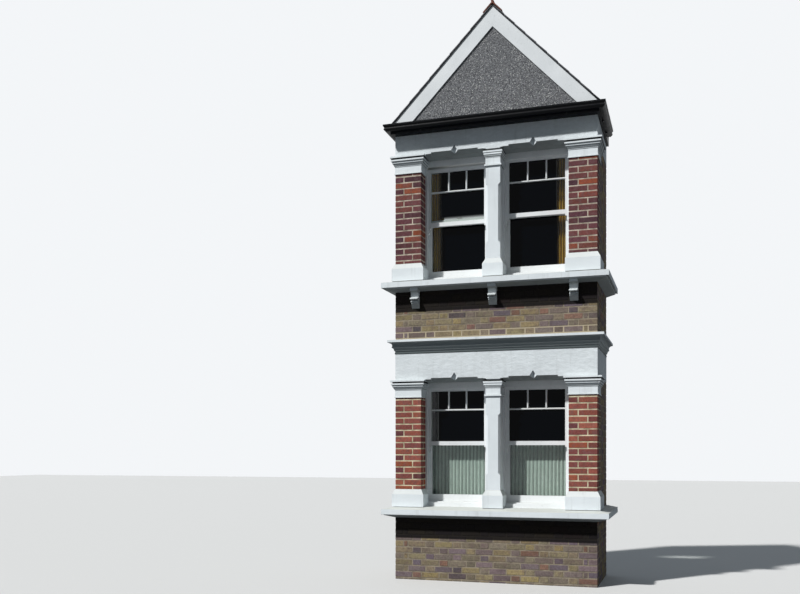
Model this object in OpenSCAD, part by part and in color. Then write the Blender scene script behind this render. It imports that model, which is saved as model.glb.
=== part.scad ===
// Two-storey square bay window of a brick terrace house, from the ground to its gable.
// X runs along the front, Y into the house and Z up; the open back is the plane of the house wall.

/* [Plan] */
// Width of the brick front
front_w = 2440; // [2100:10:3000]
// Depth of the returns, from the brick front to the house wall
return_d = 1150; // [900:10:1500]
// Width of a corner pier, one and a half bricks
pier_w = 330; // [280:5:440]
// Depth of a corner pier along the return
pier_d = 390; // [360:5:450]
// Thickness of the front walls under the windows and of the heads
front_t = 330; // [320:5:350]
// Thickness of the return walls, one brick
return_t = 225; // [150:5:240]
// Width of the mullion between the two windows
mullion_w = 175; // [150:5:260]
// Depth from the front to the window frames
reveal_d = 195; // [150:5:200]

/* [Heights] */
// Ground to the top of the lower sill
low_sill_z = 890; // [650:10:1200]
// Lower sill top to upper sill top
storey_h = 2760; // [2700:10:3100]
// Height of the pedestal bases under piers and mullions
base_h = 213; // [180:1:240]
// Brick height of the lower piers
low_pier_h = 1120; // [1000:5:1160]
// Brick height of the upper piers
up_pier_h = 1100; // [1000:5:1250]
// Height of the capitals
capital_h = 213; // [190:1:240]
// Height of the lower frieze
low_frieze_h = 323; // [280:1:340]
// Height of the upper frieze
up_frieze_h = 253; // [220:1:340]

/* [Sills and mouldings] */
// How far the sills stand out from the brickwork
sill_out = 140; // [100:1:170]
// Height of the flat nose of a sill
sill_nose_h = 68; // [50:1:80]
// Fall of the sloping top of a sill
sill_fall = 27; // [15:1:35]
// Full height of a sill where it meets the wall
sill_h = 135; // [115:1:160]
// How far the pedestal bases stand out
base_out = 36; // [20:1:60]
// Height of the upright face of a base
base_block_h = 150; // [110:1:170]
// How far the pier capitals stand out
capital_out = 54; // [40:1:64]
// How far the mullion capitals stand out
mullion_capital_out = 28; // [20:1:40]
// How far the cornice stands out
cornice_out = 80; // [60:1:95]
// Height of the cornice to the top of its nose
cornice_h = 170; // [170:1:200]
// Rise of the sloping top of the cornice
cornice_rise = 29; // [15:1:50]
// Width of a sill corbel
corbel_w = 96; // [70:1:130]
// Height of a sill corbel
corbel_h = 202; // [150:1:230]
// Projection of a sill corbel
corbel_out = 104; // [80:1:120]
// Distance of the outer corbels from the middle
corbel_x = 955; // [800:5:1020]

/* [Heads and mullions] */
// How far a window head hangs below the top of the capitals
head_drop = 25; // [10:1:34]
// Height of the chamfer under a window head
head_chamfer_h = 45; // [30:1:60]
// Depth of the chamfer under a window head
head_chamfer_d = 60; // [40:1:90]
// Length of the shoulder at each end of a head
shoulder_l = 70; // [40:1:110]
// Drop of a shoulder below the chamfered edge
shoulder_drop = 16; // [8:1:24]
// Half width of the pointed notch in the middle of a head
notch_half = 39; // [25:1:55]
// Height of the pointed notch
notch_h = 62; // [40:1:80]
// Depth of the pointed notch
notch_d = 44; // [25:1:60]
// Chamfer on the arrises of the mullions
mullion_chamfer = 26; // [12:1:34]
// Height of the square foot of a mullion below its chamfer
chamfer_from_foot = 180; // [100:5:260]
// Height of the square top of a mullion above its chamfer
chamfer_from_top = 205; // [120:5:300]

/* [Windows] */
// Depth of the box frames
frame_d = 135; // [128:1:150]
// Width of the box frame that shows beside a sash
lining_show = 22; // [15:1:40]
// Height of the box frame that shows above a sash
head_show = 74; // [60:1:100]
// How far a box frame reaches behind the pier
pier_rebate = 55; // [40:1:75]
// How far a box frame reaches behind the mullion
mullion_rebate = 45; // [30:1:60]
// Height of the timber sill of a frame
timber_sill_h = 60; // [45:1:80]
// How far the timber sill stands in front of the frame
timber_sill_out = 38; // [20:1:60]
// How far the linings lap in front of the sashes
lining_lap = 12; // [8:1:16]
// Width of the sash stiles
stile_w = 55; // [45:1:70]
// Height of the top rail of a sash
top_rail_h = 45; // [40:1:70]
// Height of the meeting rail of the upper sash
meeting_rail_h = 50; // [38:1:70]
// Height of the bottom rail of the lower sash
bottom_rail_h = 85; // [70:1:110]
// Thickness of a sash
sash_t = 44; // [38:1:46]
// Clear height of the glass in the upper sash
upper_pane_h = 614; // [500:1:640]
// How far the upper left window stands open at its head
open_gap = 38; // [0:1:90]
// Length of the scrolled horns below the upper sash
horn_l = 90; // [50:1:120]
// Thickness of the glass
glass_t = 4; // [3:1:6]

/* [Roof] */
// Rise of the roof for each unit of run
roof_slope = 1.028; // [0.85:0.001:1.15]
// Height of the eaves board
eaves_board_h = 133; // [126:1:170]
// Thickness of the eaves board
eaves_board_t = 30; // [20:1:40]
// How far the boxed eaves stand in front of the brickwork
eaves_box_out = 98; // [50:1:140]
// Width of the gutter
gutter_w = 75; // [60:1:100]
// Height of the gutter
gutter_h = 80; // [60:1:86]
// Wall of the gutter
gutter_t = 6; // [4:1:8]
// Distance of the gutter's rim below the top of the eaves board
gutter_drop = 26; // [10:1:34]
// How far the side gutters stop short of the house wall
gutter_stop = 270; // [150:5:350]
// Distance of the outer gutter brackets from the middle
bracket_x = 870; // [700:10:1050]
// Thickness of the roof covering
roof_t = 22; // [18:1:60]
// How far the roof covering stands in front of the brickwork
verge_out = 45; // [45:1:120]
// Upright height of the bargeboards
bargeboard_h = 241; // [180:1:300]
// Thickness of the bargeboards
bargeboard_t = 30; // [20:1:45]
// Thickness of the gable panel
gable_t = 110; // [100:1:225]
// Thickness of the rendering on the gable, between the bargeboards
dash_t = 16; // [10:1:24]
// Length of a ridge tile
ridge_tile_l = 300; // [250:5:450]
// Upright depth of the rafters
rafter_h = 140; // [90:1:160]

/* [Floors and curtains] */
// Sill top down to the floor of a room
sill_to_floor = 620; // [500:5:640]
// Thickness of the first floor with its ceiling
floor_t = 240; // [150:5:260]
// Thickness of the ground floor
ground_floor_t = 125; // [100:5:160]
// Thickness of the upper ceiling
ceiling_t = 60; // [30:1:100]
// Width of a drawn-back curtain
curtain_w = 170; // [120:1:240]
// Depth of the curtain folds
curtain_d = 60; // [40:1:90]
// Depth of the net curtain folds
net_d = 22; // [14:1:40]

/* [Hidden] */
$fn = 48;

// A seat that isn't face to face keeps this clearance
fit_gap = 0.3;
// Running clearance beside a sash
sash_gap = 2;
// Thickness of a frame's outer lining, of its parting bead and of its inner bead
lining_t = 20;
parting_t = 8;
bead_t = 10;
// How far the meeting rail of the lower sash stands above the foot of the upper sash
meeting_lap = 50;
// Cut that runs past a surface
past = 50;
// Height of the underside of the roof covering over the outer edge of the eaves board
apex_lift = 1;

half_w = front_w / 2;
pier_in = half_w - pier_w;
return_in = half_w - return_t;
mullion_half = mullion_w / 2;
frame_pier_x = pier_in + pier_rebate;
frame_mullion_x = mullion_half - mullion_rebate;
frame_back = reveal_d + frame_d;

// The neck of a mullion capital is cut back behind its face, and ends below the frieze
neck_in = 10;
neck_top = 8;

// Foot of a sill's nose above the foot of the sill, and the drip behind the nose
sill_nose_z = sill_h - sill_fall - sill_nose_h;
drip_in = 30;
drip_drop = 8;

up_sill_z = low_sill_z + storey_h;
low_capital_z = low_sill_z + base_h + low_pier_h;
up_capital_z = up_sill_z + base_h + up_pier_h;
low_frieze_z = low_capital_z + capital_h;
up_frieze_z = up_capital_z + capital_h;
cornice_z = low_frieze_z + low_frieze_h;
eaves_z = up_frieze_z + up_frieze_h;
board_top = eaves_z + eaves_board_h;

eaves_out = eaves_box_out + gutter_w;
gutter_foot = board_top - gutter_drop - gutter_h;
apex_z = board_top + (half_w + eaves_board_t) * roof_slope + apex_lift;
roof_rise = roof_t * sqrt(1 + roof_slope * roof_slope);

front_out = max(sill_out, eaves_out);
middle_y = (return_d - front_out) / 2;

// Heights of one window: foot and head of the sash opening and foot of its meeting rails
function opening_foot(z) = z + timber_sill_h;
function opening_head(z, h) = z + base_h + h + capital_h - head_drop - head_show + lining_lap;
function meeting_z(z, h) = opening_head(z, h) - fit_gap - top_rail_h - upper_pane_h - meeting_rail_h;

// Sides of the sashes and the faces of the upper and lower sash
sash_x0 = mullion_half + lining_show - lining_lap + sash_gap;
sash_x1 = pier_in - lining_show + lining_lap - sash_gap;
upper_sash_y = reveal_d + lining_t + fit_gap;
lower_sash_y = upper_sash_y + sash_t + parting_t;

// Wall plates, and rafters that are notched down into them
plate_w = 110;
plate_h = 75;
plate_notch = 20;
rafter_w = 50;
first_rafter = 140;

// Ridge tiles: width and thickness of a wing, open joint between two and radius of the roll
ridge_wing = 105;
ridge_t = 14;
ridge_joint = 3;
ridge_roll_r = 16;

// Clear strip between the rendering of the gable and a bargeboard
dash_gap = 4;

// Curtain rails with their brackets, and the thinner rods of the nets
rail_r = 12;
rail_bracket_r = 8;
rail_rise = 38;
rail_y = frame_back + 16 + curtain_d / 2;
net_rod_r = 5;
net_gap = 4;
up_rail_z = opening_head(up_sill_z, up_pier_h) + rail_rise;
low_rail_z = opening_head(low_sill_z, low_pier_h) + rail_rise;
net_top = meeting_z(low_sill_z, low_pier_h) + 10;
curtain_x1 = pier_in - 20;
side_curtain_w = 105;

// Height of the underside of the roof covering at a distance from the ridge
function roof_under(x) = apex_z - roof_slope * x;

// Points of an arc about c, from angle a0 to a1
function arc(c, r, a0, a1, n = 8) =
    [for (i = [0 : n]) let (a = a0 + (a1 - a0) * i / n) [c[0] + r * cos(a), c[1] + r * sin(a)]];

// Outline of a pier capital as [projection, height], of height h and projection d: a lip, an
// upright block, a cove and an ovolo between fillets, a deep neck and the abacus
function capital_outline(d, h) = concat(
    [[0.17 * d, 0], [0.17 * d, 0.056 * h], [0.06 * d, 0.066 * h], [0.06 * d, 0.437 * h],
     [0.15 * d, 0.437 * h], [0.15 * d, 0.465 * h]],
    arc([0.30 * d, 0.465 * h], 0.15 * d, 180, 100, 6),
    [[0.35 * d, 0.545 * h], [0.35 * d, 0.585 * h]],
    arc([0.37 * d, 0.585 * h + 0.20 * d], 0.20 * d, -90, 0, 6),
    [[0.57 * d, 0.70 * h], [0.76 * d, 0.72 * h], [0.80 * d, 0.74 * h], [0.80 * d, 0.82 * h],
     [0.52 * d, 0.82 * h], [0.52 * d, 0.905 * h], [d, 0.905 * h], [d, h]]);

// Outline of a mullion capital: the same mouldings under a neck that is set back, level with
// the ends of the window heads
function mullion_capital_outline(d, h) = concat(
    [[0.54 * d, 0], [0.54 * d, 0.09 * h], [0.08 * d, 0.10 * h], [0.08 * d, 0.455 * h],
     [0.22 * d, 0.455 * h], [0.22 * d, 0.48 * h]],
    arc([0.46 * d, 0.48 * h], 0.24 * d, 180, 100, 6),
    [[0.54 * d, 0.545 * h], [0.54 * d, 0.585 * h]],
    arc([0.56 * d, 0.585 * h + 0.24 * d], 0.24 * d, -90, 0, 6),
    [[0.80 * d, 0.70 * h], [0.96 * d, 0.72 * h], [d, 0.735 * h], [d, h - head_drop],
     [-neck_in, h - head_drop], [-neck_in, h - neck_top], [0, h - neck_top], [0, h]]);

// Outline of a pedestal base: an upright block under a sloping top
function base_outline(d) = [[d, 0], [d, base_block_h], [0.12 * d, base_h - 4], [0, base_h]];

// Outline of a sill: splayed underside, drip, nose and sloping top
function sill_outline(d) = [
    [0, 0], [d - drip_in, sill_nose_z - drip_drop], [d - 26, sill_nose_z + 4], [d - 16, sill_nose_z + 4],
    [d - 12, sill_nose_z], [d - 3, sill_nose_z], [d, sill_nose_z + 3],
    [d, sill_h - sill_fall - 3], [d - 3, sill_h - sill_fall], [0, sill_h]];

// Outline of the cornice: three fillets with coves over them, and a nose over the deepest cove
function cornice_outline(d, h) = concat(
    [[0.07 * d, 0], [0.07 * d, 0.13 * h], [0.24 * d, 0.13 * h], [0.24 * d, 0.20 * h]],
    arc([0.42 * d, 0.20 * h], 0.18 * d, 180, 100, 6),
    [[0.45 * d, 0.285 * h], [0.45 * d, 0.40 * h]],
    arc([0.63 * d, 0.40 * h], 0.18 * d, 180, 100, 6),
    [[0.67 * d, 0.485 * h], [0.67 * d, 0.60 * h]],
    arc([0.94 * d, 0.60 * h], 0.27 * d, 180, 95, 6),
    [[0.93 * d, 0.82 * h], [d - 2, 0.82 * h], [d, 0.835 * h], [d, h - 3], [d - 4, h],
     [0, h + cornice_rise]]);

// Outline of the gutter: a flat bottom, a hollow and a rolled lip
function gutter_outline(d, h, t) = concat(
    [[0.46 * d - t, t]],
    arc([0.46 * d - t, 0.46 * h], 0.46 * h - t, -90, -20, 5),
    arc([d - t + 0.08 * d, 0.52 * h], 0.26 * d, 200, 110, 5),
    [[d - t, 0.84 * h], [d - t, h]]);

module mirror_x() {
    children();
    mirror([1, 0, 0]) children();
}

// Solid whose plan grows by the outline's projection on three sides of a block from x0 to x1
module stack(outline, x0, x1, y_back, z = 0) {
    top = max([for (p = outline) p[1]]);
    low = min([for (p = outline) p[1]]);
    reach = max([for (p = outline) p[0]]) + past;
    translate([0, 0, z]) intersection() {
        translate([0, y_back, 0]) rotate([90, 0, 0])
            linear_extrude(y_back + reach)
                polygon(concat([for (p = outline) [x1 + p[0], p[1]]],
                    [for (i = [len(outline) - 1 : -1 : 0]) [x0 - outline[i][0], outline[i][1]]]));
        translate([x0 - reach, 0, 0]) rotate([90, 0, 90])
            linear_extrude(x1 - x0 + 2 * reach)
                polygon(concat([for (p = outline) [-p[0], p[1]]],
                    [[y_back + past, top], [y_back + past, low]]));
    }
}

// Stack round all four sides, for the bases and capitals of the piers
module full_stack(outline, x0, x1, y0, y1, z = 0) {
    reach = max([for (p = outline) p[0]]) + past;
    n = len(outline) - 1;
    translate([0, 0, z]) intersection() {
        translate([0, y1 + reach, 0]) rotate([90, 0, 0])
            linear_extrude(y1 - y0 + 2 * reach)
                polygon(concat([for (p = outline) [x1 + p[0], p[1]]],
                    [for (i = [n : -1 : 0]) [x0 - outline[i][0], outline[i][1]]]));
        translate([x0 - reach, 0, 0]) rotate([90, 0, 90])
            linear_extrude(x1 - x0 + 2 * reach)
                polygon(concat([for (p = outline) [y1 + p[0], p[1]]],
                    [for (i = [n : -1 : 0]) [y0 - outline[i][0], outline[i][1]]]));
    }
}

// Plan of the walls that close the front, with the corners brought back to the returns
module front_plan() {
    polygon([[-half_w, 0], [half_w, 0], [half_w, pier_d], [return_in, pier_d], [return_in, front_t],
        [-return_in, front_t], [-return_in, pier_d], [-half_w, pier_d]]);
}

// Plan of the whole wall of the bay, open at the back
module bay_plan() {
    polygon([[-half_w, 0], [half_w, 0], [half_w, return_d], [return_in, return_d], [return_in, front_t],
        [-return_in, front_t], [-return_in, return_d], [-half_w, return_d]]);
}

module block(x0, x1, y0, y1, z0, z1) {
    translate([x0, y0, z0]) cube([x1 - x0, y1 - y0, z1 - z0]);
}

module return_wall(z0, z1) {
    block(return_in, half_w, pier_d, return_d, z0, z1);
}

// Brick pier with a check behind its inner arris for the box frame
module pier(z, h) {
    translate([0, 0, z + base_h]) linear_extrude(h)
        polygon([[pier_in, 0], [half_w, 0], [half_w, pier_d], [frame_pier_x, pier_d],
            [frame_pier_x, reveal_d], [pier_in, reveal_d]]);
}

// What a pier's base and capital leave free: the frame's check and the inside of the bay
module pier_clear(z, h) {
    y_past = pier_d + capital_out + past;
    block(-half_w, frame_pier_x, reveal_d, y_past, z - past, z + h + past);
    block(pier_in, half_w, pier_d, y_past, z - past, z + h + past);
}

module pier_base(z) {
    difference() {
        full_stack(base_outline(base_out), pier_in, half_w, 0, pier_d, z);
        pier_clear(z, base_h);
    }
}

module pier_capital(z) {
    difference() {
        full_stack(capital_outline(capital_out, capital_h), pier_in, half_w, 0, pier_d, z);
        pier_clear(z, capital_h);
    }
}

// Narrow back of a mullion, between the checks for the two box frames
module mullion_back(z, h) {
    block(-frame_mullion_x, frame_mullion_x, reveal_d, frame_back, z, z + h);
}

module mullion_trim(outline, z, h) {
    difference() {
        stack(outline, -mullion_half, mullion_half, frame_back, z);
        for (side = [-1, 1]) translate([side * (frame_mullion_x + mullion_w), 0, 0])
            block(-mullion_w, mullion_w, reveal_d, frame_back + past, z - past, z + h + past);
    }
}

// Shaft of a mullion, its front arrises chamfered between two sloping stops
module mullion(z, h) {
    foot = z + base_h;
    difference() {
        union() {
            block(-mullion_half, mullion_half, 0, reveal_d, foot, foot + h);
            mullion_back(foot, h);
        }
        mirror_x() intersection() {
            translate([0, 0, foot]) linear_extrude(h)
                polygon([[mullion_half + 1, -1], [mullion_half - mullion_chamfer - 1, -1],
                    [mullion_half + 1, mullion_chamfer + 1]]);
            translate([0, mullion_w, foot]) rotate([90, 0, 0]) linear_extrude(2 * mullion_w)
                polygon([[mullion_half + 1, chamfer_from_foot - 1],
                    [mullion_half + 1, h - chamfer_from_top + 1],
                    [mullion_half - mullion_chamfer - 1, h - chamfer_from_top - mullion_chamfer - 1],
                    [mullion_half - mullion_chamfer - 1, chamfer_from_foot + mullion_chamfer + 1]]);
        }
    }
}

// Chamfer with its shoulders and the pointed notch in the front edge of one window head
module head_cut(z, x0, x1) {
    edge = z - head_drop;
    middle = (x0 + x1) / 2;
    top = head_chamfer_h;
    low = head_chamfer_h - shoulder_drop;
    for (run = [[x0, x1, low], [x0 + shoulder_l, x1 - shoulder_l, top]])
        translate([run[0], 0, edge]) rotate([90, 0, 90]) linear_extrude(run[1] - run[0])
            polygon([[-1, run[2] + run[2] / head_chamfer_d], [-1, -1], [head_chamfer_d, -1],
                [head_chamfer_d, 0]]);
    translate([middle, 0, edge + head_chamfer_h]) intersection() {
        translate([0, notch_d, 0]) rotate([90, 0, 0]) linear_extrude(2 * notch_d)
            polygon([[-notch_half, -head_chamfer_h], [notch_half, -head_chamfer_h], [notch_half, 0],
                [0, notch_h], [-notch_half, 0]]);
        translate([0, 0, -head_chamfer_h]) linear_extrude(notch_h + head_chamfer_h)
            polygon([[-notch_half - 10, -1], [notch_half + 10, -1], [0, notch_d]]);
    }
}

// Frieze over the capitals, with the two window heads hanging from it
module frieze(z, h) {
    x0 = mullion_half + mullion_capital_out;
    x1 = pier_in - capital_out;
    difference() {
        union() {
            translate([0, 0, z]) linear_extrude(h) bay_plan();
            mirror_x() {
                block(x0, x1, 0, reveal_d, z - head_drop, z + 1);
                block(frame_mullion_x, frame_pier_x, reveal_d, front_t, z - head_drop, z + 1);
            }
        }
        mirror_x() head_cut(z, x0, x1);
    }
}

// Sill: a slab through the front wall with a moulded edge that returns to the house
module sill(z) {
    translate([0, 0, z - sill_h]) {
        linear_extrude(sill_h) front_plan();
        difference() {
            stack(sill_outline(sill_out), -half_w, half_w, return_d);
            block(-half_w, half_w, 0, return_d + past, -past, sill_h + past);
        }
    }
}

// Corbel: a block with a hollow front, a roll, a fillet between two grooves and a lower block
module corbel(z) {
    d = corbel_out;
    h = corbel_h;
    translate([corbel_w / 2, 0, z]) rotate([90, 0, -90]) linear_extrude(corbel_w)
        polygon(concat([[0, 0], [d, 0], [d, -0.11 * h], [0.94 * d, -0.12 * h]],
            arc([0.94 * d, -0.12 * h - 0.30 * d], 0.30 * d, 90, 180, 8),
            [[0.64 * d, -0.375 * h], [0.87 * d, -0.375 * h]],
            arc([0.87 * d, -0.43 * h], 0.055 * h, 90, -90, 8),
            [[0.53 * d, -0.485 * h], [0.53 * d, -0.52 * h], [0.62 * d, -0.52 * h],
             [0.62 * d, -0.60 * h], [0.46 * d, -0.61 * h], [0.46 * d, -0.66 * h],
             [0.40 * d, -0.66 * h], [0.40 * d, -0.70 * h], [0.31 * d, -0.72 * h],
             [0.25 * d, -0.94 * h], [0.25 * d, -h], [0, -h]]));
}

// Height of the splayed underside of the upper sill above its foot, at a distance from the wall
function splay(d) = d * (sill_nose_z - drip_drop) / (sill_out - drip_in);

// Corbels under the upper sill, their heads cut to the splay
module corbels() {
    for (x = [-corbel_x, 0, corbel_x]) translate([x, 0, 0]) difference() {
        translate([0, 0, splay(corbel_out)]) corbel(up_sill_z - sill_h);
        translate([-corbel_w, 0, up_sill_z - sill_h]) rotate([90, 0, 90])
            linear_extrude(2 * corbel_w)
                polygon([[past, 0], [0, 0], [-corbel_out - past, splay(corbel_out + past)],
                    [-corbel_out - past, corbel_h], [past, corbel_h]]);
    }
}

// Moulded cornice round the outside of the walls
module cornice() {
    difference() {
        stack(cornice_outline(cornice_out, cornice_h), -half_w, half_w, return_d, cornice_z);
        block(-half_w, half_w, 0, return_d + past, cornice_z - past, cornice_z + cornice_h + past);
    }
}

// Box frame of one window with its timber sill, seen on the right of the mullion
module window_frame(z, h) {
    top = z + base_h + h + capital_h - head_drop;
    opening_x0 = mullion_half + lining_show;
    opening_x1 = pier_in - lining_show;
    difference() {
        block(frame_mullion_x, frame_pier_x, reveal_d, frame_back, z, top);
        block(opening_x0, opening_x1, reveal_d - past, frame_back + past,
            opening_foot(z), top - head_show);
        block(opening_x0 - lining_lap, opening_x1 + lining_lap, reveal_d + lining_t, frame_back - bead_t,
            opening_foot(z), opening_head(z, h));
    }
    block(mullion_half + base_out + fit_gap, pier_in - base_out - fit_gap,
        reveal_d - timber_sill_out, reveal_d + 1, z, z + timber_sill_h - 12);
}

// Sash with its pane left open, from the left of the pane opening to the right
module sash(x0, x1, y0, z0, z1, low_rail, top_rail) {
    difference() {
        block(x0, x1, y0, y0 + sash_t, z0, z1);
        block(x0 + stile_w, x1 - stile_w, y0 - past, y0 + sash_t + past, z0 + low_rail, z1 - top_rail);
    }
}

// Scrolled horn below a stile of the upper sash
module horn(x, y0, z, side) {
    translate([x, y0 + sash_t, z]) mirror([side < 0 ? 1 : 0, 0, 0])
        rotate([90, 0, 0]) linear_extrude(sash_t)
            polygon(concat([[0, 1], [0, -horn_l + 8], [6, -horn_l]],
                arc([6, -0.70 * horn_l], 0.30 * horn_l, -90, 0, 6),
                arc([stile_w, -0.42 * horn_l], stile_w - 6 - 0.30 * horn_l, 200, 150, 4),
                [[stile_w, -0.22 * horn_l], [stile_w, 1]]));
}

// Sashes of both windows, the upper one on the left lowered to stand open at its head
module sashes(z, h, left_open = 0) {
    meeting = meeting_z(z, h);
    for (side = [[0, 0], [1, left_open]]) mirror([side[0], 0, 0]) {
        translate([0, 0, -side[1]]) {
            sash(sash_x0, sash_x1, upper_sash_y, meeting, opening_head(z, h) - fit_gap,
                meeting_rail_h, top_rail_h);
            horn(sash_x0, upper_sash_y, meeting, 1);
            horn(sash_x1, upper_sash_y, meeting, -1);
        }
        sash(sash_x0, sash_x1, lower_sash_y, opening_foot(z) + fit_gap, meeting + meeting_lap,
            bottom_rail_h, meeting_rail_h);
    }
}

// Panes, held in the middle of the sashes
module panes(z, h, left_open = 0) {
    x0 = sash_x0 + stile_w + fit_gap;
    x1 = sash_x1 - stile_w - fit_gap;
    middle = (sash_t - glass_t) / 2;
    y_upper = upper_sash_y + middle;
    y_lower = lower_sash_y + middle;
    meeting = meeting_z(z, h);
    for (side = [[0, 0], [1, left_open]]) mirror([side[0], 0, 0]) {
        block(x0, x1, y_upper, y_upper + glass_t, meeting + meeting_rail_h + fit_gap - side[1],
            opening_head(z, h) - top_rail_h - 2 * fit_gap - side[1]);
        block(x0, x1, y_lower, y_lower + glass_t, opening_foot(z) + bottom_rail_h + 2 * fit_gap,
            meeting + meeting_lap - meeting_rail_h - fit_gap);
    }
}

// Eaves board along both sides, boxed out over the front
module eaves_board() {
    outer = half_w + eaves_board_t;
    difference() {
        block(-outer, outer, -eaves_box_out, return_d, eaves_z, board_top);
        block(-half_w, half_w, 0, return_d + past, eaves_z - past, board_top + past);
    }
}

// Gutter round the eaves board, hollowed out between its back, its front and its ends
module gutter() {
    inner = half_w + eaves_board_t;
    hollow = inner + gutter_t;
    end = return_d - gutter_stop;
    outside = gutter_outline(gutter_w, gutter_h, 0);
    inside = concat(gutter_outline(gutter_w, gutter_h, gutter_t), [[gutter_w - gutter_t, gutter_h + past]]);
    difference() {
        translate([0, -eaves_box_out, 0])
            stack(outside, -inner, inner, end + eaves_box_out, gutter_foot);
        block(-inner, inner, -eaves_box_out, end + past, eaves_z - past, board_top + past);
        difference() {
            translate([0, -eaves_box_out, 0])
                stack(inside, -inner, inner, end + eaves_box_out - gutter_t, gutter_foot);
            block(-hollow, hollow, -eaves_box_out - gutter_t, end + past, eaves_z - past,
                board_top + 2 * past);
        }
    }
}

// Strap bracket under the gutter, standing out along -Y from the face of the eaves board
module bracket() {
    leg = gutter_foot - eaves_z;
    reach = min(0.40 * gutter_w, leg - 6);
    translate([-12, 0, gutter_foot]) rotate([90, 0, 90]) linear_extrude(24)
        polygon(concat([[0, 0], [-reach, 0], [-reach, -6]],
            arc([-reach, -reach], reach - 6, 90, 0, 6), [[-6, -leg + 4], [0, -leg + 4]]));
}

module gutter_brackets() {
    for (x = [-bracket_x, 0, bracket_x]) translate([x, -eaves_box_out, 0]) bracket();
    mirror_x() for (y = [0.25, 0.62])
        translate([half_w + eaves_board_t, y * return_d, 0]) rotate([0, 0, 90]) bracket();
}

// Distance from the middle of the gable to the inner edge of a bargeboard, at its foot
function board_foot() = (apex_z - bargeboard_h - board_top) / roof_slope;

// Gable panel with its rendering, which stands forward between the bargeboards
module gable_panel() {
    translate([0, gable_t, 0]) rotate([90, 0, 0]) linear_extrude(gable_t)
        polygon([[-half_w, eaves_z], [half_w, eaves_z], [half_w, roof_under(half_w)],
            [0, apex_z], [-half_w, roof_under(half_w)]]);
    dash_foot = board_foot() - dash_gap;
    translate([0, 1, 0]) rotate([90, 0, 0]) linear_extrude(dash_t + 1)
        polygon([[-dash_foot, board_top], [dash_foot, board_top], [0, board_top + dash_foot * roof_slope]]);
}

// Right bargeboard, mitred at the apex and cut level at its foot
module bargeboard() {
    foot = half_w + 14;
    rotate([90, 0, 0]) linear_extrude(bargeboard_t)
        polygon([[0, apex_z], [foot, roof_under(foot)], [foot, board_top], [board_foot(), board_top],
            [0, apex_z - bargeboard_h]]);
}

// Right slope of the roof covering, from the ridge into the gutter
module roof_slope_slab() {
    foot = half_w + eaves_board_t + 20;
    translate([0, return_d, 0]) rotate([90, 0, 0]) linear_extrude(return_d + verge_out)
        polygon([[0, apex_z], [foot, roof_under(foot)],
            [foot + roof_t * sin(atan(roof_slope)), roof_under(foot) + roof_t * cos(atan(roof_slope))],
            [0, apex_z + roof_rise]]);
}

// Ridge tiles: angled wings under a round roll
module ridge_tiles() {
    lift = ridge_t * sqrt(1 + roof_slope * roof_slope);
    edge_x = ridge_wing + ridge_t * sin(atan(roof_slope));
    edge_z = -ridge_wing * roof_slope + ridge_t * cos(atan(roof_slope));
    count = max(1, round((return_d + verge_out) / ridge_tile_l));
    step = (return_d + verge_out) / count;
    for (i = [0 : count - 1])
        translate([0, -verge_out + (i + 1) * step - (i < count - 1 ? ridge_joint : 0), apex_z + roof_rise])
            rotate([90, 0, 0]) linear_extrude(step - (i < count - 1 ? ridge_joint : 0)) {
                polygon([[0, 0], [ridge_wing, -ridge_wing * roof_slope], [edge_x, edge_z],
                    [0, lift], [-edge_x, edge_z], [-ridge_wing, -ridge_wing * roof_slope]]);
                translate([0, lift + ridge_roll_r / 4]) circle(ridge_roll_r);
            }
}

module wall_plates() {
    mirror_x() block(half_w - plate_w, half_w, gable_t, return_d, eaves_z, eaves_z + plate_h);
}

// Pairs of rafters, seated on the wall plates and met at the ridge
module rafters() {
    foot_z = eaves_z + plate_h - plate_notch;
    seat = (apex_z - rafter_h - foot_z) / roof_slope;
    first = gable_t + first_rafter;
    pitch = (return_d - first - rafter_w) / 2;
    for (i = [0 : 2]) translate([0, first + i * pitch + rafter_w, 0]) rotate([90, 0, 0])
        linear_extrude(rafter_w)
            polygon([[0, apex_z], [half_w, roof_under(half_w)], [half_w, foot_z], [seat, foot_z],
                [0, apex_z - rafter_h], [-seat, foot_z], [-half_w, foot_z],
                [-half_w, roof_under(half_w)]]);
}

// Slab of a floor or ceiling between the walls
module floor_slab(z_top, t) {
    translate([0, 0, z_top - t]) linear_extrude(t)
        polygon([[-return_in, return_d], [-return_in, front_t],
            [return_in, front_t], [return_in, return_d]]);
}

// Round rail with brackets that stand off the inner face of the window head
module curtain_rail(z, x0, x1) {
    translate([x0, rail_y, z]) rotate([0, 90, 0]) cylinder(h = x1 - x0, r = rail_r);
    for (x = [x0 + 20, x1 - 20]) translate([x, frame_back, z]) rotate([-90, 0, 0])
        cylinder(h = rail_y - frame_back, r = rail_bracket_r);
}

// Drawn-back curtain hanging under its rail
module curtain(x0, x1, z0, z_rail) {
    block(x0, x1, rail_y - curtain_d / 2, rail_y + curtain_d / 2, z0, z_rail - rail_r - fit_gap);
}

module net_rods() {
    y = frame_back + net_gap + net_d / 2;
    mirror_x() {
        translate([mullion_half, y, net_top + net_rod_r + fit_gap]) rotate([0, 90, 0])
            cylinder(h = pier_in - mullion_half, r = net_rod_r);
        for (x = [mullion_half + 6, pier_in - 6])
            translate([x, frame_back, net_top + net_rod_r + fit_gap]) rotate([-90, 0, 0])
                cylinder(h = y - frame_back, r = 4);
    }
}

module net_curtains() {
    y = frame_back + net_gap;
    mirror_x() block(mullion_half + 14, pier_in - 14, y, y + net_d, opening_foot(low_sill_z) + 10, net_top);
}

module side_curtain() {
    block(-pier_in + 8, -pier_in + side_curtain_w, rail_y - curtain_d / 2 + 20, rail_y + curtain_d / 2 + 20,
        low_sill_z - 60, low_rail_z - rail_r - fit_gap);
}

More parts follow.
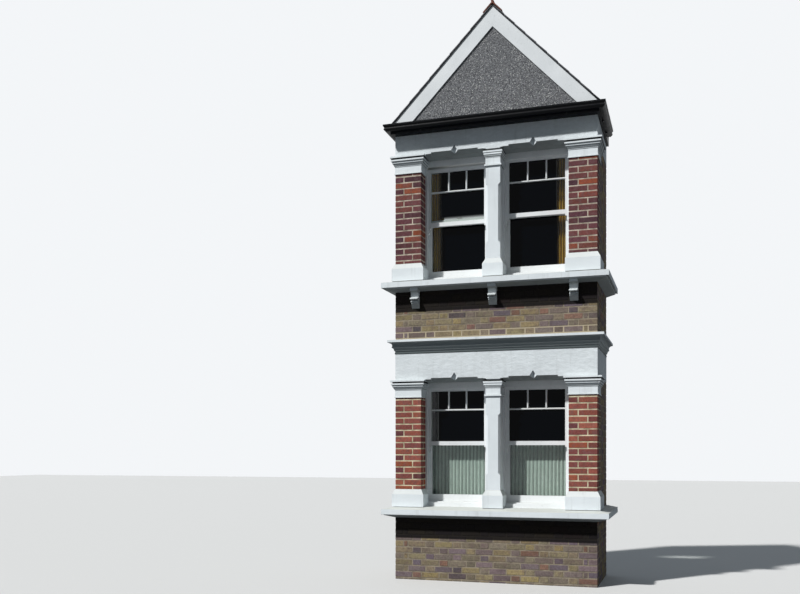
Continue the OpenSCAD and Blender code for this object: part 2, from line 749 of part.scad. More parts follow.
// Every node is drawn from the middle of the ground under the bay
module place() {
    translate([0, -middle_y, 0]) children();
}

brick_red = "#8a463c";
stock_brick = "#8f7a55";
render_white = "#eceae6";
timber_white = "#f2f2f0";
eaves_black = "#1d1f22";

color(stock_brick) place() linear_extrude(low_sill_z - sill_h) front_plan();  // dado_wall
color(stock_brick) place() mirror([1, 0, 0]) return_wall(0, low_frieze_z);  // lower_left_return
color(stock_brick) place() return_wall(0, low_frieze_z);  // lower_right_return
color(render_white) place() sill(low_sill_z);  // lower_sill
color(render_white) place() {  // lower_bases
        mirror_x() pier_base(low_sill_z);
        mullion_trim(base_outline(base_out), low_sill_z, base_h);
    }
color(brick_red) place() mirror([1, 0, 0]) pier(low_sill_z, low_pier_h);  // lower_left_pier
color(brick_red) place() pier(low_sill_z, low_pier_h);  // lower_right_pier
color(render_white) place() mullion(low_sill_z, low_pier_h);  // lower_mullion
color(render_white) place() {  // lower_capitals
        mirror_x() pier_capital(low_capital_z);
        mullion_trim(mullion_capital_outline(mullion_capital_out, capital_h), low_capital_z, capital_h);
    }
color(render_white) place() frieze(low_frieze_z, low_frieze_h);  // lower_frieze
color(render_white) place() cornice();
color(stock_brick) place() translate([0, 0, cornice_z])  // spandrel_wall
        linear_extrude(up_sill_z - sill_h - cornice_z) front_plan();
color(stock_brick) place() mirror([1, 0, 0]) return_wall(cornice_z, up_frieze_z);  // upper_left_return
color(stock_brick) place() return_wall(cornice_z, up_frieze_z);  // upper_right_return
color(render_white) place() sill(up_sill_z);  // upper_sill
color(render_white) place() corbels();  // sill_corbels
color(render_white) place() {  // upper_bases
        mirror_x() pier_base(up_sill_z);
        mullion_trim(base_outline(base_out), up_sill_z, base_h);
    }
color(brick_red) place() mirror([1, 0, 0]) pier(up_sill_z, up_pier_h);  // upper_left_pier
color(brick_red) place() pier(up_sill_z, up_pier_h);  // upper_right_pier
color(render_white) place() mullion(up_sill_z, up_pier_h);  // upper_mullion
color(render_white) place() {  // upper_capitals
        mirror_x() pier_capital(up_capital_z);
        mullion_trim(mullion_capital_outline(mullion_capital_out, capital_h), up_capital_z, capital_h);
    }
color(render_white) place() frieze(up_frieze_z, up_frieze_h);  // upper_frieze
color(eaves_black) place() eaves_board();
color(eaves_black) place() gutter();
color(eaves_black) place() gutter_brackets();
color("#77767a") place() gable_panel();
color(timber_white) place() mirror([1, 0, 0]) bargeboard();  // left_bargeboard
color(timber_white) place() bargeboard();  // right_bargeboard
color("#3c3f45") place() mirror([1, 0, 0]) roof_slope_slab();  // left_roof_slope
color("#3c3f45") place() roof_slope_slab();  // right_roof_slope
color("#8c4a38") place() ridge_tiles();
color("#b08d5e") place() {
        wall_plates();
        rafters();
    }
color("#9a7448") place() floor_slab(low_sill_z - sill_to_floor, ground_floor_t);  // ground_floor
color("#9a7448") place() floor_slab(up_sill_z - sill_to_floor, floor_t);  // first_floor
color("#e4e1da") place() floor_slab(eaves_z, ceiling_t);  // upper_ceiling
color(timber_white) place() mirror_x() window_frame(low_sill_z, low_pier_h);  // lower_frames
color(timber_white) place() mirror_x() window_frame(up_sill_z, up_pier_h);  // upper_frames
color(timber_white) place() sashes(low_sill_z, low_pier_h);  // lower_sashes
color(timber_white) place() sashes(up_sill_z, up_pier_h, open_gap);  // upper_sashes
color("#20262c") place() panes(low_sill_z, low_pier_h);  // lower_glass
color("#20262c") place() panes(up_sill_z, up_pier_h, open_gap);  // upper_glass
color("#b8b4ac") place() {  // curtain_rails
        curtain_rail(up_rail_z, -pier_in, pier_in);
        curtain_rail(low_rail_z, -pier_in, pier_in);
        net_rods();
    }
color("#b08a1e") place()  // upper_curtains
        mirror_x() curtain(curtain_x1 - curtain_w, curtain_x1, up_sill_z - 160, up_rail_z);
color("#dcdcd8") place() net_curtains();
color("#8d8f92") place() side_curtain();
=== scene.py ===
import bpy
import bmesh
import math
import random
from mathutils import Matrix, Vector


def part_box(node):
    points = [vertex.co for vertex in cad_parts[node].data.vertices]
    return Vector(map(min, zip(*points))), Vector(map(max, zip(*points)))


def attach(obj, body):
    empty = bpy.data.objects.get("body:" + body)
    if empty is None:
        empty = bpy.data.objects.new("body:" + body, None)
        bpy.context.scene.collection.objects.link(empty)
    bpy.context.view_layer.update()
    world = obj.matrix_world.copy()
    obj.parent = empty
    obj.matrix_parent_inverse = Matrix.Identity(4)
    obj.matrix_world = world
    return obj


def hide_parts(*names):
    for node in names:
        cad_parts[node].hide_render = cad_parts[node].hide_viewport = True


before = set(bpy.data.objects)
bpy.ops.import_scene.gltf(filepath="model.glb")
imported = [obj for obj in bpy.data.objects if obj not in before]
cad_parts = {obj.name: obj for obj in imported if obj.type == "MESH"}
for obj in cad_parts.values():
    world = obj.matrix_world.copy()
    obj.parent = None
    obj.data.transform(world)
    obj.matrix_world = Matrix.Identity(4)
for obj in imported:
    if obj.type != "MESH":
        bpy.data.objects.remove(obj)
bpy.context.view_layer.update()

# Places, in metres: the brick front is the plane y = FRONT and the house wall the plane y = BACK
HALF = 1.220
FRONT = round(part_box("dado_wall")[0][1], 5)
BACK = FRONT + 1.150
PIER_IN = 0.890
RETURN_IN = 0.995
CHECK_IN = 0.945
REVEAL = FRONT + 0.195
PIER_BACK = FRONT + 0.390
WALL_BACK = FRONT + 0.330
ROOF_SLOPE = 1.028


def corners_of(node):
    lo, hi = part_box(node)
    return Vector(lo), Vector(hi)


def heights_of(node):
    lo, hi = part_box(node)
    return lo[2], hi[2]


# Finishes
def linear(code):
    """Linear colour of an sRGB hex code."""
    channels = []
    for i in (1, 3, 5):
        c = int(code[i:i + 2], 16) / 255
        channels.append(c / 12.92 if c <= 0.04045 else ((c + 0.055) / 1.055) ** 2.4)
    return (*channels, 1.0)


def add(tree, kind, inputs=None, out=0, **settings):
    """Add a shader node with its settings, set or link its inputs, and give one output."""
    node = tree.nodes.new("ShaderNode" + kind)
    for key, value in settings.items():
        setattr(node, key, value)
    for key, value in (inputs or {}).items():
        if isinstance(value, bpy.types.NodeSocket):
            tree.links.new(value, node.inputs[key])
        else:
            node.inputs[key].default_value = value
    return node.outputs[out] if node.outputs else node


def new_finish(name):
    finish = bpy.data.materials.new(name)
    finish.use_nodes = True
    finish.node_tree.nodes.clear()
    return finish, finish.node_tree, add(finish.node_tree, "TexCoord", out="Object")


def facing(tree, axis, normal="Normal"):
    """How far a face looks along an axis."""
    return add(tree, "SeparateXYZ", {0: add(tree, "NewGeometry", out=normal)}, out=axis)


def drawn_noise(tree, pos, stretch, grain, detail, rough=0.5, turn=(0, 0, 0)):
    """Noise of one grain, drawn out along the axes whose stretch is small."""
    pos = add(tree, "Mapping", {"Vector": pos, "Rotation": turn, "Scale": stretch})
    return add(tree, "TexNoise", {"Vector": pos, "Scale": 1 / grain, "Detail": detail, "Roughness": rough})


def ledge_dirt_and_shade(tree):
    """Share of grey on ledges, from how far a face looks up: partly dirt that settles there, partly
    painted shade that tones down the sunlit tops.
    """
    up = facing(tree, "Z")
    return add(tree, "MapRange", {"Value": up, "From Min": 0.15, "From Max": 0.75, "To Max": 0.85})


def between(tree, value, low, high, edge):
    """One where a value lies between two limits, nought outside them, blended over the edges."""
    over = add(tree, "MapRange", {"Value": value, "From Min": low - edge, "From Max": low + edge})
    under = add(tree, "MapRange", {"Value": value, "From Min": high + edge, "From Max": high - edge})
    return add(tree, "Math", {0: over, 1: under}, operation="MULTIPLY")


def painted_sill_shadow(tree, pos):
    """Share of the painted shadow cast by the sills on the brickwork just under them, most
    of all on the front."""
    reach, behind_sill = 0.249, 0.010
    z = add(tree, "SeparateXYZ", {0: pos}, out="Z")
    share = 0.0
    for sill in ("lower_sill", "upper_sill"):
        foot = heights_of(sill)[0]
        near = between(tree, z, foot - reach, foot + behind_sill, 0.007)
        share = add(tree, "Math", {0: near, 1: 0.97, 2: share}, operation="MULTIPLY_ADD")
    side = facing(tree, "Y", "True Normal")
    front = add(tree, "MapRange", {"Value": side, "From Min": -0.2, "From Max": -0.6, "To Min": 0.25})
    return add(tree, "Math", {0: share, 1: front}, operation="MULTIPLY")


def masonry_paint(name, grain, depth, brushed=False, painted_shade_bands=()):
    """White masonry paint, brushed on render in many coats: matt, faintly wavy, with a skin of sand
    whose grain and depth are given, and grey where rain has run. Faces that look down are darkened
    as painted shade, and so is each painted shade band: two heights and the colour between them."""
    finish, t, pos = new_finish(name)
    broad = add(t, "TexNoise", {"Vector": pos, "Scale": 1 / 0.45, "Detail": 4.0})
    runs = drawn_noise(t, pos, (1, 1, 0.09), 0.06, 4.0)
    sand = add(t, "TexNoise", {"Vector": pos, "Scale": 1 / grain, "Detail": 3.0, "Roughness": 0.7})
    pits = add(t, "TexVoronoi", {"Vector": pos, "Scale": 1 / 0.011})
    worn = add(t, "MapRange", {"Value": broad, "From Min": 0.35, "From Max": 0.72})
    rain = add(t, "MapRange", {"Value": runs, "From Min": 0.56, "From Max": 0.84, "To Max": 0.40})
    pits = add(t, "MapRange", {"Value": pits, "From Min": 0.05, "From Max": 0.32, "To Max": 0.4})
    base = add(t, "Mix", {0: worn, 6: linear("#EAF2F7"), 7: linear("#DEE6EB")}, 2, data_type="RGBA")
    # painted shade: faces that look down are darkened
    down = add(t, "MapRange", {"Value": facing(t, "Z"), "From Min": -0.12, "From Max": -0.75, "To Max": 0.85})
    overlays = [(rain, "#AEB4B4"), (ledge_dirt_and_shade(t), "#B4B7B2"), (down, "#7C8384")]
    z = add(t, "SeparateXYZ", {0: pos}, out="Z")
    # painted shade bands, in grooves and under overhangs
    for foot, top, soot_and_shade in painted_shade_bands:
        overlays.append((between(t, z, foot, top, 0.002), soot_and_shade))
    for share, overlay in overlays:
        base = add(t, "Mix", {0: share, 6: base, 7: linear(overlay)}, 2, data_type="RGBA")
    skin = add(t, "Math", {0: sand, 1: pits}, operation="ADD")
    if brushed:
        # the coarse ridges that a brush leaves in thick textured paint
        ridge = drawn_noise(t, pos, (0.5, 1, 1), 0.028, 5.0, 0.65, turn=(0, 0.5, 0))
        shade = add(t, "MapRange", {"Value": ridge, "From Min": 0.40, "From Max": 0.66, "To Min": 0.24,
                                    "To Max": 0.0})
        base = add(t, "Mix", {0: shade, 6: base, 7: linear("#B3BABC")}, 2, data_type="RGBA")
        skin = add(t, "Math", {0: ridge, 1: 2.2, 2: skin}, operation="MULTIPLY_ADD")
    wavy = add(t, "TexNoise", {"Vector": pos, "Scale": 1 / 0.05, "Detail": 2.0})
    wavy = add(t, "Bump", {"Height": wavy, "Distance": 0.003, "Strength": 0.6})
    bump = add(t, "Bump", {"Height": skin, "Distance": depth, "Strength": 0.9, "Normal": wavy})
    paint = add(t, "BsdfPrincipled", {"Base Color": base, "Roughness": 0.72, "Specular IOR Level": 0.25,
                                      "Normal": bump})
    add(t, "OutputMaterial", {"Surface": paint})
    return finish


def gloss_white(name, fresh, tired):
    """White oil gloss, brushed on softwood: fine lines along the grain, a soft shine, patches of grime,
    and grey on faces that look up, partly dirt and partly painted shade."""
    finish, t, pos = new_finish(name)
    brush = drawn_noise(t, pos, (1, 1, 0.06), 0.004, 3.0, 0.6)
    broad = add(t, "TexNoise", {"Vector": pos, "Scale": 1 / 0.3, "Detail": 3.0})
    grime = add(t, "TexNoise", {"Vector": pos, "Scale": 1 / 0.035, "Detail": 5.0, "Roughness": 0.7})
    broad = add(t, "MapRange", {"Value": broad, "From Min": 0.3, "From Max": 0.75})
    grime = add(t, "MapRange", {"Value": grime, "From Min": 0.58, "From Max": 0.82, "To Max": 0.5})
    base = add(t, "Mix", {0: broad, 6: linear(fresh), 7: linear(tired)}, 2, data_type="RGBA")
    base = add(t, "Mix", {0: grime, 6: base, 7: linear("#A7ABA8")}, 2, data_type="RGBA")
    # faces that look up: grey dirt and painted shade
    base = add(t, "Mix", {0: ledge_dirt_and_shade(t), 6: base, 7: linear("#BEC0BC")}, 2, data_type="RGBA")
    sheen = add(t, "MapRange", {"Value": brush, "From Min": 0.3, "From Max": 0.7, "To Min": 0.30,
                                "To Max": 0.46})
    bump = add(t, "Bump", {"Height": brush, "Distance": 0.0006, "Strength": 0.7})
    paint = add(t, "BsdfPrincipled", {"Base Color": base, "Roughness": sheen, "Normal": bump})
    add(t, "OutputMaterial", {"Surface": paint})
    return finish


def black_gloss(name, lump, shine):
    """Black gloss paint on board or cast iron: deep black with a wet shine, dulled by dust."""
    finish, t, pos = new_finish(name)
    dust = add(t, "TexNoise", {"Vector": pos, "Scale": 1 / 0.05, "Detail": 5.0, "Roughness": 0.65})
    cast = add(t, "TexNoise", {"Vector": pos, "Scale": 1 / lump, "Detail": 3.0})
    veil = add(t, "MapRange", {"Value": dust, "From Min": 0.55, "From Max": 0.95, "To Max": 0.3})
    base = add(t, "Mix", {0: veil, 6: linear("#020408"), 7: linear("#171B20")}, 2, data_type="RGBA")
    rough = add(t, "MapRange", {"Value": dust, "From Min": 0.3, "From Max": 0.8, "To Min": shine,
                                "To Max": shine + 0.3})
    bump = add(t, "Bump", {"Height": cast, "Distance": 0.0012, "Strength": 0.7})
    paint = add(t, "BsdfPrincipled", {"Base Color": base, "Roughness": rough, "Specular IOR Level": 0.10,
                                      "Normal": bump})
    add(t, "OutputMaterial", {"Surface": paint})
    return finish


def brick_clay():
    """Hand-pressed clay bricks, fired unevenly: each has its own colour, mottled with soot, with
    pits and pale sand in the skin."""
    finish, t, pos = new_finish("brick_clay")
    tint = add(t, "Attribute", out="Color", attribute_name="tint")
    mottle = add(t, "TexNoise", {"Vector": pos, "Scale": 1 / 0.022, "Detail": 5.0, "Roughness": 0.7})
    soot_and_shade = add(t, "TexNoise", {"Vector": pos, "Scale": 1 / 0.09, "Detail": 4.0, "Roughness": 0.6})
    sand = add(t, "TexNoise", {"Vector": pos, "Scale": 1 / 0.0022, "Detail": 2.0, "Roughness": 0.8})
    pits = add(t, "TexVoronoi", {"Vector": pos, "Scale": 1 / 0.006})
    fired = add(t, "MapRange", {"Value": mottle, "From Min": 0.30, "From Max": 0.72})
    dark = add(t, "Mix", {0: 0.50, 6: tint, 7: linear("#2A2224")}, 2, data_type="RGBA")
    base = add(t, "Mix", {0: fired, 6: dark, 7: tint}, 2, data_type="RGBA")
    blush = add(t, "TexNoise", {"Vector": pos, "Scale": 1 / 0.045, "Detail": 2.0})
    blush = add(t, "MapRange", {"Value": blush, "From Min": 0.48, "From Max": 0.66, "To Max": 0.3})
    veil = add(t, "MapRange", {"Value": soot_and_shade, "From Min": 0.50, "From Max": 0.80, "To Max": 0.4})
    speck = add(t, "MapRange", {"Value": sand, "From Min": 0.60, "From Max": 0.78, "To Max": 0.35})
    # the last overlay is painted shadow, nearly black, just under the sills
    for share, overlay in ((blush, "#7A6468"), (veil, "#37302F"), (speck, "#B5A594"),
                         (painted_sill_shadow(t, pos), "#151314")):
        base = add(t, "Mix", {0: share, 6: base, 7: linear(overlay)}, 2, data_type="RGBA")
    pits = add(t, "MapRange", {"Value": pits, "From Min": 0.06, "From Max": 0.30})
    skin = add(t, "Math", {0: mottle, 1: 4.0, 2: sand}, operation="MULTIPLY_ADD")
    under = add(t, "Bump", {"Height": skin, "Distance": 0.0011, "Strength": 0.8})
    bump = add(t, "Bump", {"Height": pits, "Distance": 0.0012, "Strength": 0.7, "Normal": under})
    clay = add(t, "BsdfPrincipled", {"Base Color": base, "Roughness": 0.88, "Specular IOR Level": 0.12,
                                     "Normal": bump})
    add(t, "OutputMaterial", {"Surface": clay})
    return finish


def lime_mortar(name, clean, sooty, sand, sooted):
    """Lime mortar with sharp sand: gritty, darkened in patches by soot, and pale just over the
    cornice, where rain splashes it. A lower sooted makes the dark patches wider."""
    finish, t, pos = new_finish(name)
    grit = add(t, "TexNoise", {"Vector": pos, "Scale": 1 / 0.0016, "Detail": 2.0, "Roughness": 0.8})
    broad = add(t, "TexNoise", {"Vector": pos, "Scale": 1 / 0.12, "Detail": 4.0, "Roughness": 0.6})
    lumps = add(t, "TexNoise", {"Vector": pos, "Scale": 1 / 0.014, "Detail": 3.0})
    patch = add(t, "MapRange", {"Value": broad, "From Min": 0.38, "From Max": sooted})
    base = add(t, "Mix", {0: patch, 6: linear(clean), 7: linear(sooty)}, 2, data_type="RGBA")
    z = add(t, "SeparateXYZ", {0: pos}, out="Z")
    foot, splash_height = heights_of("cornice")[0], 0.265
    splashed = between(t, z, foot, foot + splash_height, 0.005)
    fleck = add(t, "MapRange", {"Value": grit, "From Min": 0.35, "From Max": 0.75, "To Max": 0.5})
    # the last overlay is painted shadow just under the sills
    for share, overlay in ((splashed, "#B5A992"), (fleck, sand), (painted_sill_shadow(t, pos), "#1A1817")):
        base = add(t, "Mix", {0: share, 6: base, 7: linear(overlay)}, 2, data_type="RGBA")
    height = add(t, "Math", {0: lumps, 1: 1.5, 2: grit}, operation="MULTIPLY_ADD")
    bump = add(t, "Bump", {"Height": height, "Distance": 0.0016, "Strength": 0.9})
    lime = add(t, "BsdfPrincipled", {"Base Color": base, "Roughness": 0.95, "Specular IOR Level": 0.12,
                                     "Normal": bump})
    add(t, "OutputMaterial", {"Surface": lime})
    return finish


def wall_plaster():
    """Plaster set with a steel trowel and painted: smooth, with broad shallow sweeps."""
    finish, t, pos = new_finish("wall_plaster")
    sweep = add(t, "TexNoise", {"Vector": pos, "Scale": 1 / 0.10, "Detail": 4.0, "Roughness": 0.5})
    skin = add(t, "TexNoise", {"Vector": pos, "Scale": 1 / 0.003, "Detail": 2.0})
    patch = add(t, "MapRange", {"Value": sweep, "From Min": 0.35, "From Max": 0.7})
    base = add(t, "Mix", {0: patch, 6: linear("#DAD7CE"), 7: linear("#C6C2B8")}, 2, data_type="RGBA")
    height = add(t, "Math", {0: skin, 1: 0.3, 2: sweep}, operation="MULTIPLY_ADD")
    bump = add(t, "Bump", {"Height": height, "Distance": 0.0015, "Strength": 0.6})
    paint = add(t, "BsdfPrincipled", {"Base Color": base, "Roughness": 0.85, "Normal": bump})
    add(t, "OutputMaterial", {"Surface": paint})
    return finish


def pebbledash():
    """Small crushed stone thrown on wet mortar: grey chips of about 10 mm with dark gaps."""
    finish, t, pos = new_finish("pebbledash")
    warp = add(t, "TexNoise", {"Vector": pos, "Scale": 90.0}, out="Color")
    warp = add(t, "VectorMath", {0: warp, 1: (0.006, 0.006, 0.006), 2: pos}, operation="MULTIPLY_ADD")
    near = add(t, "TexVoronoi", {"Vector": warp, "Scale": 1 / 0.011})
    chip = add(t, "TexVoronoi", {"Vector": warp, "Scale": 1 / 0.011}, out="Color")
    chip = add(t, "SeparateColor", {0: chip})
    base = add(t, "Mix", {0: chip, 6: linear("#64676B"), 7: linear("#A6A9AD")}, 2, data_type="RGBA")
    pale = add(t, "MapRange", {"Value": chip, "From Min": 0.88, "From Max": 0.93})
    dark = add(t, "MapRange", {"Value": chip, "From Min": 0.12, "From Max": 0.05})
    gap = add(t, "MapRange", {"Value": near, "From Min": 0.48, "From Max": 0.62})
    broad = add(t, "TexNoise", {"Vector": pos, "Scale": 1 / 0.25, "Detail": 4.0})
    grime = add(t, "MapRange", {"Value": broad, "From Min": 0.40, "From Max": 0.72, "To Max": 0.35})
    for share, overlay in ((pale, "#CFD1D0"), (dark, "#3B3E42"), (gap, "#4B4D51"), (grime, "#5B5D61")):
        base = add(t, "Mix", {0: share, 6: base, 7: linear(overlay)}, 2, data_type="RGBA")
    height = add(t, "MapRange", {"Value": near, "From Max": 0.6, "To Min": 1.0, "To Max": 0.0})
    bump = add(t, "Bump", {"Height": height, "Distance": 0.006, "Strength": 1.0})
    dash = add(t, "BsdfPrincipled", {"Base Color": base, "Roughness": 0.85, "Normal": bump})
    add(t, "OutputMaterial", {"Surface": dash})
    return finish


def riven_slate():
    """Slate split by hand: flat flakes with a dull shine, each slate its own grey, and lichen."""
    finish, t, pos = new_finish("riven_slate")
    tint = add(t, "Attribute", out="Color", attribute_name="tint")
    cleft = drawn_noise(t, pos, (1, 0.4, 1), 0.05, 5.0, 0.65)
    lichen = add(t, "TexNoise", {"Vector": pos, "Scale": 1 / 0.018, "Detail": 5.0, "Roughness": 0.75})
    flake = add(t, "MapRange", {"Value": cleft, "From Min": 0.3, "From Max": 0.75, "To Max": 0.6})
    lichen = add(t, "MapRange", {"Value": lichen, "From Min": 0.62, "From Max": 0.74, "To Max": 0.6})
    base = add(t, "Mix", {0: flake, 6: tint, 7: linear("#23262B")}, 2, data_type="RGBA")
    base = add(t, "Mix", {0: lichen, 6: base, 7: linear("#7E8272")}, 2, data_type="RGBA")
    bump = add(t, "Bump", {"Height": cleft, "Distance": 0.002, "Strength": 0.8})
    stone = add(t, "BsdfPrincipled", {"Base Color": base, "Roughness": 0.62, "Normal": bump})
    add(t, "OutputMaterial", {"Surface": stone})
    return finish


def tarred_felt():
    """Bitumen felt under the slates: near black and coarse, pale only where dust lies."""
    finish, t, pos = new_finish("tarred_felt")
    fibre = add(t, "TexNoise", {"Vector": pos, "Scale": 1 / 0.004, "Detail": 4.0, "Roughness": 0.7})
    dust = add(t, "MapRange", {"Value": fibre, "From Min": 0.5, "From Max": 0.8, "To Max": 0.5})
    base = add(t, "Mix", {0: dust, 6: linear("#15171A"), 7: linear("#34363A")}, 2, data_type="RGBA")
    bump = add(t, "Bump", {"Height": fibre, "Distance": 0.0008, "Strength": 0.8})
    felt = add(t, "BsdfPrincipled", {"Base Color": base, "Roughness": 0.9, "Normal": bump})
    add(t, "OutputMaterial", {"Surface": felt})
    return finish


def ridge_terracotta():
    """Unglazed terracotta, pressed and fired: orange brown with burnt patches and lichen."""
    finish, t, pos = new_finish("ridge_terracotta")
    burn = add(t, "TexNoise", {"Vector": pos, "Scale": 1 / 0.05, "Detail": 4.0, "Roughness": 0.6})
    lichen = add(t, "TexNoise", {"Vector": pos, "Scale": 1 / 0.012, "Detail": 5.0, "Roughness": 0.75})
    skin = add(t, "TexNoise", {"Vector": pos, "Scale": 1 / 0.004, "Detail": 3.0})
    burn = add(t, "MapRange", {"Value": burn, "From Min": 0.35, "From Max": 0.7})
    lichen = add(t, "MapRange", {"Value": lichen, "From Min": 0.60, "From Max": 0.72, "To Max": 0.7})
    base = add(t, "Mix", {0: burn, 6: linear("#7A4535"), 7: linear("#472B25")}, 2, data_type="RGBA")
    base = add(t, "Mix", {0: lichen, 6: base, 7: linear("#8F8D7C")}, 2, data_type="RGBA")
    bump = add(t, "Bump", {"Height": skin, "Distance": 0.001, "Strength": 0.8})
    clay = add(t, "BsdfPrincipled", {"Base Color": base, "Roughness": 0.85, "Normal": bump})
    add(t, "OutputMaterial", {"Surface": clay})
    return finish


def sawn_pine():
    """Pine rafters straight from the saw: straw brown with darker grain along the timber."""
    finish, t, pos = new_finish("sawn_pine")
    grain = drawn_noise(t, pos, (0.08, 1, 0.08), 0.010, 4.0, 0.6)
    line = add(t, "MapRange", {"Value": grain, "From Min": 0.32, "From Max": 0.70})
    base = add(t, "Mix", {0: line, 6: linear("#A9845A"), 7: linear("#775838")}, 2, data_type="RGBA")
    bump = add(t, "Bump", {"Height": grain, "Distance": 0.001, "Strength": 0.8})
    wood = add(t, "BsdfPrincipled", {"Base Color": base, "Roughness": 0.75, "Normal": bump})
    add(t, "OutputMaterial", {"Surface": wood})
    return finish


def waxed_boards():
    """Pine floorboards 120 mm wide, stained and waxed: a soft shine and dark open joints."""
    finish, t, pos = new_finish("waxed_boards")
    grain = drawn_noise(t, pos, (1, 0.08, 1), 0.010, 4.0, 0.6)
    line = add(t, "MapRange", {"Value": grain, "From Min": 0.32, "From Max": 0.70})
    base = add(t, "Mix", {0: line, 6: linear("#8A5F36"), 7: linear("#5E3F22")}, 2, data_type="RGBA")
    across = add(t, "SeparateXYZ", {0: pos})
    board = add(t, "Math", {0: across, 1: 0.120}, operation="DIVIDE")
    number = add(t, "Math", {0: board}, operation="FLOOR")
    tone = add(t, "TexWhiteNoise", {"W": number}, noise_dimensions="1D")
    tone = add(t, "Math", {0: tone, 1: 0.35}, operation="MULTIPLY")
    base = add(t, "Mix", {0: tone, 6: base, 7: linear("#5E3F22")}, 2, data_type="RGBA")
    edge = add(t, "Math", {0: board, 1: 0.5}, operation="PINGPONG")
    joint = add(t, "MapRange", {"Value": edge, "From Max": 0.02})
    base = add(t, "Mix", {0: joint, 6: linear("#241A12"), 7: base}, 2, data_type="RGBA")
    height = add(t, "Math", {0: grain, 1: 0.5, 2: joint}, operation="MULTIPLY_ADD")
    bump = add(t, "Bump", {"Height": height, "Distance": 0.0015, "Strength": 0.7})
    wood = add(t, "BsdfPrincipled", {"Base Color": base, "Roughness": 0.42, "Normal": bump})
    add(t, "OutputMaterial", {"Surface": wood})
    return finish


def rail_enamel():
    """White stoved enamel on steel rods and catches: smooth, with a few dull knocks."""
    finish, t, pos = new_finish("rail_enamel")
    knock = add(t, "TexNoise", {"Vector": pos, "Scale": 1 / 0.01, "Detail": 4.0})
    worn = add(t, "MapRange", {"Value": knock, "From Min": 0.45, "From Max": 0.75})
    base = add(t, "Mix", {0: worn, 6: linear("#DEDDD8"), 7: linear("#A9A7A1")}, 2, data_type="RGBA")
    bump = add(t, "Bump", {"Height": knock, "Distance": 0.0003, "Strength": 0.5})
    enamel = add(t, "BsdfPrincipled", {"Base Color": base, "Roughness": 0.35, "Normal": bump})
    add(t, "OutputMaterial", {"Surface": enamel})
    return finish


def woven_cloth(name, face, fold, hollow_shade, thread, sheer):
    """Plain woven cloth: slubs run down it, the hollows of its folds are darkened as painted shade,
    and the weave is drawn at its real thread spacing.
    A net is sheer, and most so in its hollows, where only one layer hangs."""
    finish, t, pos = new_finish(name)
    x, y, z = [add(t, "SeparateXYZ", {0: pos}, out=axis) for axis in "XYZ"]
    turns = 2 * math.pi / thread
    across = add(t, "Math", {0: x, 1: y}, operation="ADD")
    warp = add(t, "Math", {0: across, 1: turns}, operation="MULTIPLY")
    warp = add(t, "Math", {0: warp}, operation="SINE")
    weft = add(t, "Math", {0: z, 1: turns}, operation="MULTIPLY")
    weft = add(t, "Math", {0: weft}, operation="SINE")
    weave = add(t, "Math", {0: warp, 1: weft}, operation="MULTIPLY")
    slub = drawn_noise(t, pos, (1, 1, 0.15), 0.01, 4.0, 0.6)
    slub = add(t, "MapRange", {"Value": slub, "From Min": 0.3, "From Max": 0.75})
    over = add(t, "MapRange", {"Value": weave, "From Min": -1.0, "From Max": 1.0, "To Max": 0.25})
    base = add(t, "Mix", {0: slub, 6: linear(face), 7: linear(fold)}, 2, data_type="RGBA")
    base = add(t, "Mix", {0: over, 6: base, 7: linear(fold)}, 2, data_type="RGBA")
    ridge = add(t, "Attribute", out="Fac", attribute_name="ridge")
    # painted shade: the deeper a hollow of a fold lies, the darker it is painted
    deep = add(t, "MapRange", {"Value": ridge, "From Min": 0.70, "From Max": 0.10, "To Max": 0.85})
    base = add(t, "Mix", {0: deep, 6: base, 7: linear(hollow_shade)}, 2, data_type="RGBA")
    bump = add(t, "Bump", {"Height": weave, "Distance": 0.0002, "Strength": 0.5})
    sockets = {"Base Color": base, "Roughness": 0.9, "Sheen Weight": 0.25, "Sheen Roughness": 0.5,
               "Normal": bump}
    if sheer:
        sockets["Alpha"] = add(t, "MapRange", {"Value": ridge, "From Min": 0.2, "From Max": 0.8,
                                               "To Min": 1 - sheer, "To Max": 0.995})
    add(t, "OutputMaterial", {"Surface": add(t, "BsdfPrincipled", sockets)})
    return finish


